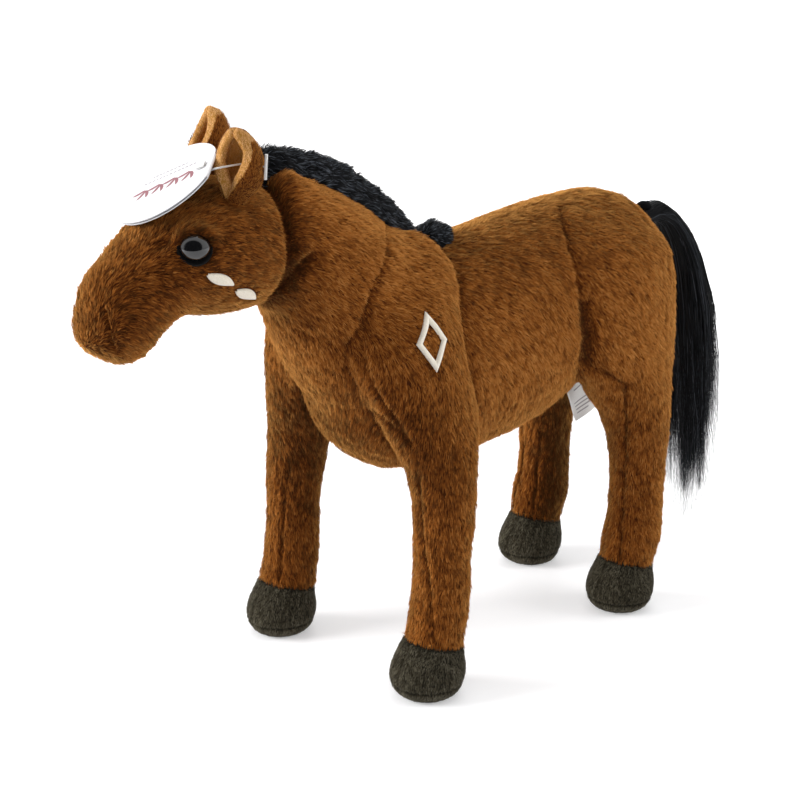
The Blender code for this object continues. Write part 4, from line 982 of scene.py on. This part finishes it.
def tag_stroke(points, widths):
    """A flat printed stroke through points given down and across the tag."""
    points = np.array(points, float)
    run = unit(np.gradient(points, axis=0))
    edge = np.stack([-run[:, 1], run[:, 0]], axis=1) * (np.array(widths)[:, None] / 2)
    rows = np.stack([points - edge, points + edge], axis=1).reshape(-1, 2)
    return TAG_MIDDLE + TAG_NORMAL * PRINT_LIFT + rows[:, :1] * TAG_DOWN + rows[:, 1:] * TAG_ACROSS


def tag_print(name, strokes, material):
    faces, count = [], 0
    for stroke in strokes:
        faces.append(grid_quads(1, len(stroke) // 2, 2) + count)
        count += len(stroke)
    thing = new_object(name, np.concatenate(strokes), [np.concatenate(faces)], material)
    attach(thing, "tag")


def leaf_stroke(centre, angle, length, width):
    """A slim leaf as one tapered stroke."""
    share = np.linspace(-1, 1, 9)
    direction = np.array((cos(angle), sin(angle)))
    bow = np.array((-direction[1], direction[0])) * length * 0.10
    points = [np.array(centre) + direction * length / 2 * s + bow * (1 - s * s) for s in share]
    return tag_stroke(points, width * np.sqrt(np.clip(1 - share ** 2, 0.02, 1)))


strokes = []
for k in range(4):
    for angle in (0.25, 1.05, 1.85):
        middle = ((-12.5 + 7.6 * k + 3.4 * cos(angle)) * MM, (-1.0 + 3.9 * sin(angle)) * MM)
        strokes.append(leaf_stroke(middle, angle, 6.2 * MM, 1.7 * MM))
tag_print("tag_print_leaves", strokes, mauve_ink)
strokes = []
for row, (start, end) in enumerate(((-14, 13), (-9, 8))):
    x = start
    while x < end:
        size = (0.9, 1.5, 1.2)[int(abs(x) * 7) % 3]
        across = -(5.5 + 3.2 * row) * MM
        strokes.append(tag_stroke([(x * MM, across), ((x + size) * MM, across)], (0.9 * MM, 0.9 * MM)))
        x += size + 0.6
tag_print("tag_print_rule", strokes, grey_ink)


# Labels: two woven satin strips in the belly seam, printed with plain bars

satin, tree, shader = shader_nodes("label_satin", (0.80, 0.79, 0.77), 0.42, Sheen_Weight=0.2,
                                   Sheen_Roughness=0.4)
wave = add_node(tree, "TexWave", {0: object_place(tree)}, bands_direction="Z", in_1=900, in_2=1.5,
                in_3=2).outputs[1]
tree.links.new(ramp(tree, wave, [(0.2, (0.84, 0.83, 0.81)), (0.8, (0.93, 0.92, 0.90))]),
               shader.inputs["Base Color"])
bump(tree, shader, wave, 0.25, 0.1 * MM)

LABEL_WIDTH = 19 * MM
LONG_LABEL = 30 * MM
SHORT_LABEL = 18 * MM
LABEL_HALF_THICK = np.array((0.15 * MM, 0, 0))
BAR_POINTS = 9
seam_along = unit(SEAM_BACK - SEAM_FRONT)
seam_down = np.array((0, seam_along[2], -seam_along[1]))


def label_point(across, down, offset, curl):
    """A point of a label: shares of its width and metres down it, with a soft curl sideways."""
    aside = offset + curl * (down / LONG_LABEL) ** 2 + 0.5 * MM * sin(across * 5 + down * 260)
    point = (SEAM_FRONT + SEAM_BACK) / 2 + seam_along * (across * LABEL_WIDTH) + seam_down * (down - 1.2 * MM)
    return point + (aside, 0, 0)


def label_sheet(name, node, length, offset, curl, bars):
    """A thin sheet, with bars on both faces: millimetres down it, first and last share across, height."""
    wide, high = 16, 26
    front = [label_point(i / wide - 0.5, length * j / high, offset, curl)
             for j in range(high + 1) for i in range(wide + 1)]
    front = np.array(front)
    count = len(front)
    quad = grid_quads(1, high + 1, wide + 1)
    grid = np.arange(count).reshape(high + 1, wide + 1)
    rim = np.concatenate([grid[0, :-1], grid[:-1, -1], grid[-1, :0:-1], grid[:0:-1, 0]])
    after = np.roll(rim, -1)
    edge = np.stack([rim + count, after + count, after, rim], axis=1)
    verts = np.concatenate([front + LABEL_HALF_THICK, front - LABEL_HALF_THICK])
    thing = new_object(name, verts, [np.concatenate([quad, quad[:, ::-1] + count, edge])], satin)
    thing.data.shade_smooth()
    thing.data.set_sharp_from_angle(angle=radians(50))
    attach(thing, "labels")
    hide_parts(node)
    verts = []
    for down, first, last, height in bars:
        for face in (1.25, -1.25):
            for across in np.linspace(first, last, BAR_POINTS):
                for shift in (0, height * MM):
                    spot = label_point(across, down * MM + shift, offset, curl)
                    verts.append(spot + face * LABEL_HALF_THICK)
    ink = new_object(f"{name}_print", verts, [grid_quads(len(bars) * 2, BAR_POINTS, 2)], grey_ink)
    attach(ink, "labels")


long_bars = [(20.5 + 1.9 * k, -0.36, last, 0.55) for k, last in enumerate((0.30, 0.18, 0.36, 0.05))]
long_bars.append((17, -0.2, 0.2, 0.8))
label_sheet("long_label_cloth", "long_label", LONG_LABEL, 0, 1.5 * MM, long_bars)
label_sheet("short_label_cloth", "short_label", SHORT_LABEL, 0.8 * MM, 1.2 * MM, [(12.5, -0.30, 0.10, 0.7)])


# Embroidery: raised satin stitch, each thread a short bowed tube

thread, tree, shader = shader_nodes("cream_thread", (0.80, 0.73, 0.60), 0.42, Sheen_Weight=0.3,
                                    Sheen_Roughness=0.3)
mottle(tree, shader, 2200, 2, [(0.3, (0.82, 0.74, 0.60)), (0.7, (0.96, 0.91, 0.81))])

STITCH_RADIUS = 0.30 * MM
STITCH_PITCH = 0.46 * MM
STITCH_POINTS = 7
STITCH_SIDES = 6


def on_side(y, z):
    """Point and normal of the pile's level on the horse's left side."""
    hit, normal, _, _ = skin_tree.ray_cast(Vector((0.12, y, z)), Vector((-1, 0, 0)))
    return hit, normal


def satin_piece(node, threads):
    """threads are pairs of end points in the side view; each thread bows up between them."""
    t = np.linspace(0, 1, STITCH_POINTS)
    arch = np.sin(pi * t)
    slim = STITCH_RADIUS * (0.55 + 0.45 * arch ** 0.5)
    angles = (2 * pi * np.arange(STITCH_SIDES) / STITCH_SIDES)[:, None]
    verts = []
    for start, end in threads:
        spots = [on_side(*spot) for spot in start + (end - start) * t[:, None]]
        points, ups = (np.array(rows) for rows in zip(*spots))
        line = points + ups * (0.95 * MM * arch ** 0.6 - 0.45 * MM)[:, None]
        run = unit(np.gradient(line, axis=0))
        across = unit(np.cross(run, ups))
        ring = across[:, None] * np.cos(angles) + np.cross(across, run)[:, None] * np.sin(angles)
        verts.append((line[:, None] + ring * slim[:, None, None]).reshape(-1, 3))
    faces = grid_quads(len(threads), STITCH_POINTS, STITCH_SIDES, closed=True)
    thing = new_object(f"{node}_stitch", np.concatenate(verts), [faces], thread)
    thing.data.shade_smooth()
    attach(thing, "horse")
    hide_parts(node)


def leaf_threads(centre, length, width, tilt):
    """Threads laid slantwise across a slim leaf."""
    along = np.array((cos(tilt), sin(tilt)))
    across = np.array((-along[1], along[0]))
    count = int(length / STITCH_PITCH)
    rows = []
    for k in range(1, count):
        share = k / count
        half = width / 2 * sin(pi * share) ** 0.8 + 0.15 * MM
        middle = centre + along * (length * (share - 0.5))
        reach = across * half + along * half * 0.35
        rows.append((middle - reach, middle + reach))
    return rows


def lozenge_threads(centre, height, width, stroke):
    """Threads laid across each of the four bars of a lozenge outline."""
    corners = np.array([(0, height / 2), (width / 2, 0), (0, -height / 2), (-width / 2, 0)])
    inward = 1 - stroke / (width * height / sqrt(width ** 2 + height ** 2) / 2)
    rows = []
    for a, b in zip(corners, np.roll(corners, -1, axis=0)):
        count = int(np.linalg.norm(b - a) / STITCH_PITCH)
        for k in range(count):
            outer = a + (b - a) * k / count
            rows.append((centre + outer * inward, centre + outer))
    return rows


for node in ("cheek_leaf_1", "cheek_leaf_2"):
    satin_piece(node, leaf_threads(middle_of(node)[1:], 14 * MM, 4.4 * MM, pi * 0.86))
lozenge = lozenge_threads(middle_of("shoulder_lozenge")[1:], 26 * MM, 17 * MM, 2.6 * MM)
satin_piece("shoulder_lozenge", lozenge)


# Stage: a pale floor that fades to the photograph's white, soft light, and the camera

FLOOR_SIZE = 40
FLOOR_GLOW, FAR_GLOW = 0.33, 0.75
FLOOR_FADE = 0.30, 1.1
GLOSSY_SHARE = 0.50
CARD_SIZE = 1.5
CARD_FADE = 0.95, 1.45
WORLD_LIGHT = 0.41
LAMP_AIM = Vector((0, 0, 0.12))
LAMPS = (
    ("top_light", (0.0, 0.0, 1.3), 1.3, 6),
    ("left_light", (-0.80, -1.25, 0.60), 0.9, 31),
    ("right_light", (0.95, 1.16, 0.60), 0.9, 13),
    ("back_light", (-1.16, 0.95, 0.70), 0.9, 8),
)


def flat_square(name, half, material, tree, surface):
    """A square with a material whose own shader is replaced."""
    tree.links.new(surface, tree.nodes["Material Output"].inputs["Surface"])
    corners = [(-half, -half, 0), (half, -half, 0), (half, half, 0), (-half, half, 0)]
    return new_object(name, corners, [np.array([(0, 1, 2, 3)])], material)


def fade_value(tree, near, far, first=0, last=1):
    """First near the object's centre, and last far from it."""
    away = add_node(tree, "VectorMath", {0: object_place(tree)}, operation="LENGTH").outputs["Value"]
    return add_node(tree, "MapRange", {0: away}, interpolation_type="SMOOTHSTEP", in_1=near, in_2=far,
                    in_3=first, in_4=last).outputs[0]


def make_floor():
    white, tree, shader = shader_nodes("studio_white", (0.84, 0.84, 0.85), 0.9, Specular_IOR_Level=0.1)
    path = add_node(tree, "LightPath").outputs
    seen = add_node(tree, "Math", {0: path["Is Glossy Ray"], 2: path["Is Camera Ray"]},
                    operation="MULTIPLY_ADD", in_1=GLOSSY_SHARE).outputs[0]
    fade = fade_value(tree, *FLOOR_FADE, FLOOR_GLOW, FAR_GLOW)
    strength = add_node(tree, "Math", {0: seen, 1: fade}, operation="MULTIPLY").outputs[0]
    glow = add_node(tree, "Emission", {"Strength": strength}).outputs[0]
    both = add_node(tree, "AddShader", {0: shader.outputs[0], 1: glow}).outputs[0]
    flat_square("studio_floor", FLOOR_SIZE, white, tree, both)


def make_card():
    """A dark card behind the camera, as the eyes reflect it; nothing else sees it."""
    black, tree, shader = shader_nodes("camera_black", (0.01, 0.01, 0.01), 0.9)
    clear = add_node(tree, "BsdfTransparent").outputs[0]
    fade = fade_value(tree, *CARD_FADE)
    mix = add_node(tree, "MixShader", {0: fade, 1: shader.outputs[0], 2: clear}).outputs[0]
    card = flat_square("camera_card", CARD_SIZE, black, tree, mix)
    card.location = EYE_POINT + BACK * 0.04
    card.rotation_euler = Vector(BACK).to_track_quat("Z", "Y").to_euler()
    card.visible_camera = False
    card.visible_diffuse = False
    card.visible_shadow = False
    card.visible_transmission = False


def make_light():
    world = bpy.data.worlds.new("studio")
    bpy.context.scene.world = world
    world.use_nodes = True
    tree = world.node_tree
    path = add_node(tree, "LightPath").outputs
    sky = tree.nodes["Background"]
    sky.inputs["Color"].default_value = (1, 1, 1, 1)
    seen = path["Is Camera Ray"]
    for ray in ("Is Glossy Ray", "Is Transmission Ray"):
        seen = add_node(tree, "Math", {0: seen, 1: path[ray]}, operation="MAXIMUM").outputs[0]
    power = add_node(tree, "MapRange", {0: seen}, in_3=WORLD_LIGHT, in_4=1.0)
    tree.links.new(power.outputs[0], sky.inputs["Strength"])
    for name, place, size, watts in LAMPS:
        lamp = bpy.data.lights.new(name, "AREA")
        lamp.shape = "SQUARE"
        lamp.size = size
        lamp.energy = watts
        thing = put(name, lamp)
        thing.visible_glossy = False
        thing.location = place
        thing.rotation_euler = (LAMP_AIM - Vector(place)).to_track_quat("-Z", "Y").to_euler()


def make_camera():
    lens = bpy.data.cameras.new("camera")
    lens.sensor_width = 36
    lens.lens = FOCAL / IMAGE_SIZE * 36
    lens.clip_start, lens.clip_end = 0.02, 20
    camera = put("camera", lens)
    camera.location = EYE_POINT
    camera.rotation_euler = Vector(-BACK).to_track_quat("-Z", "Y").to_euler()
    bpy.context.scene.camera = camera
    bpy.context.scene.view_settings.view_transform = "Standard"


make_floor()
make_card()
make_light()
make_camera()
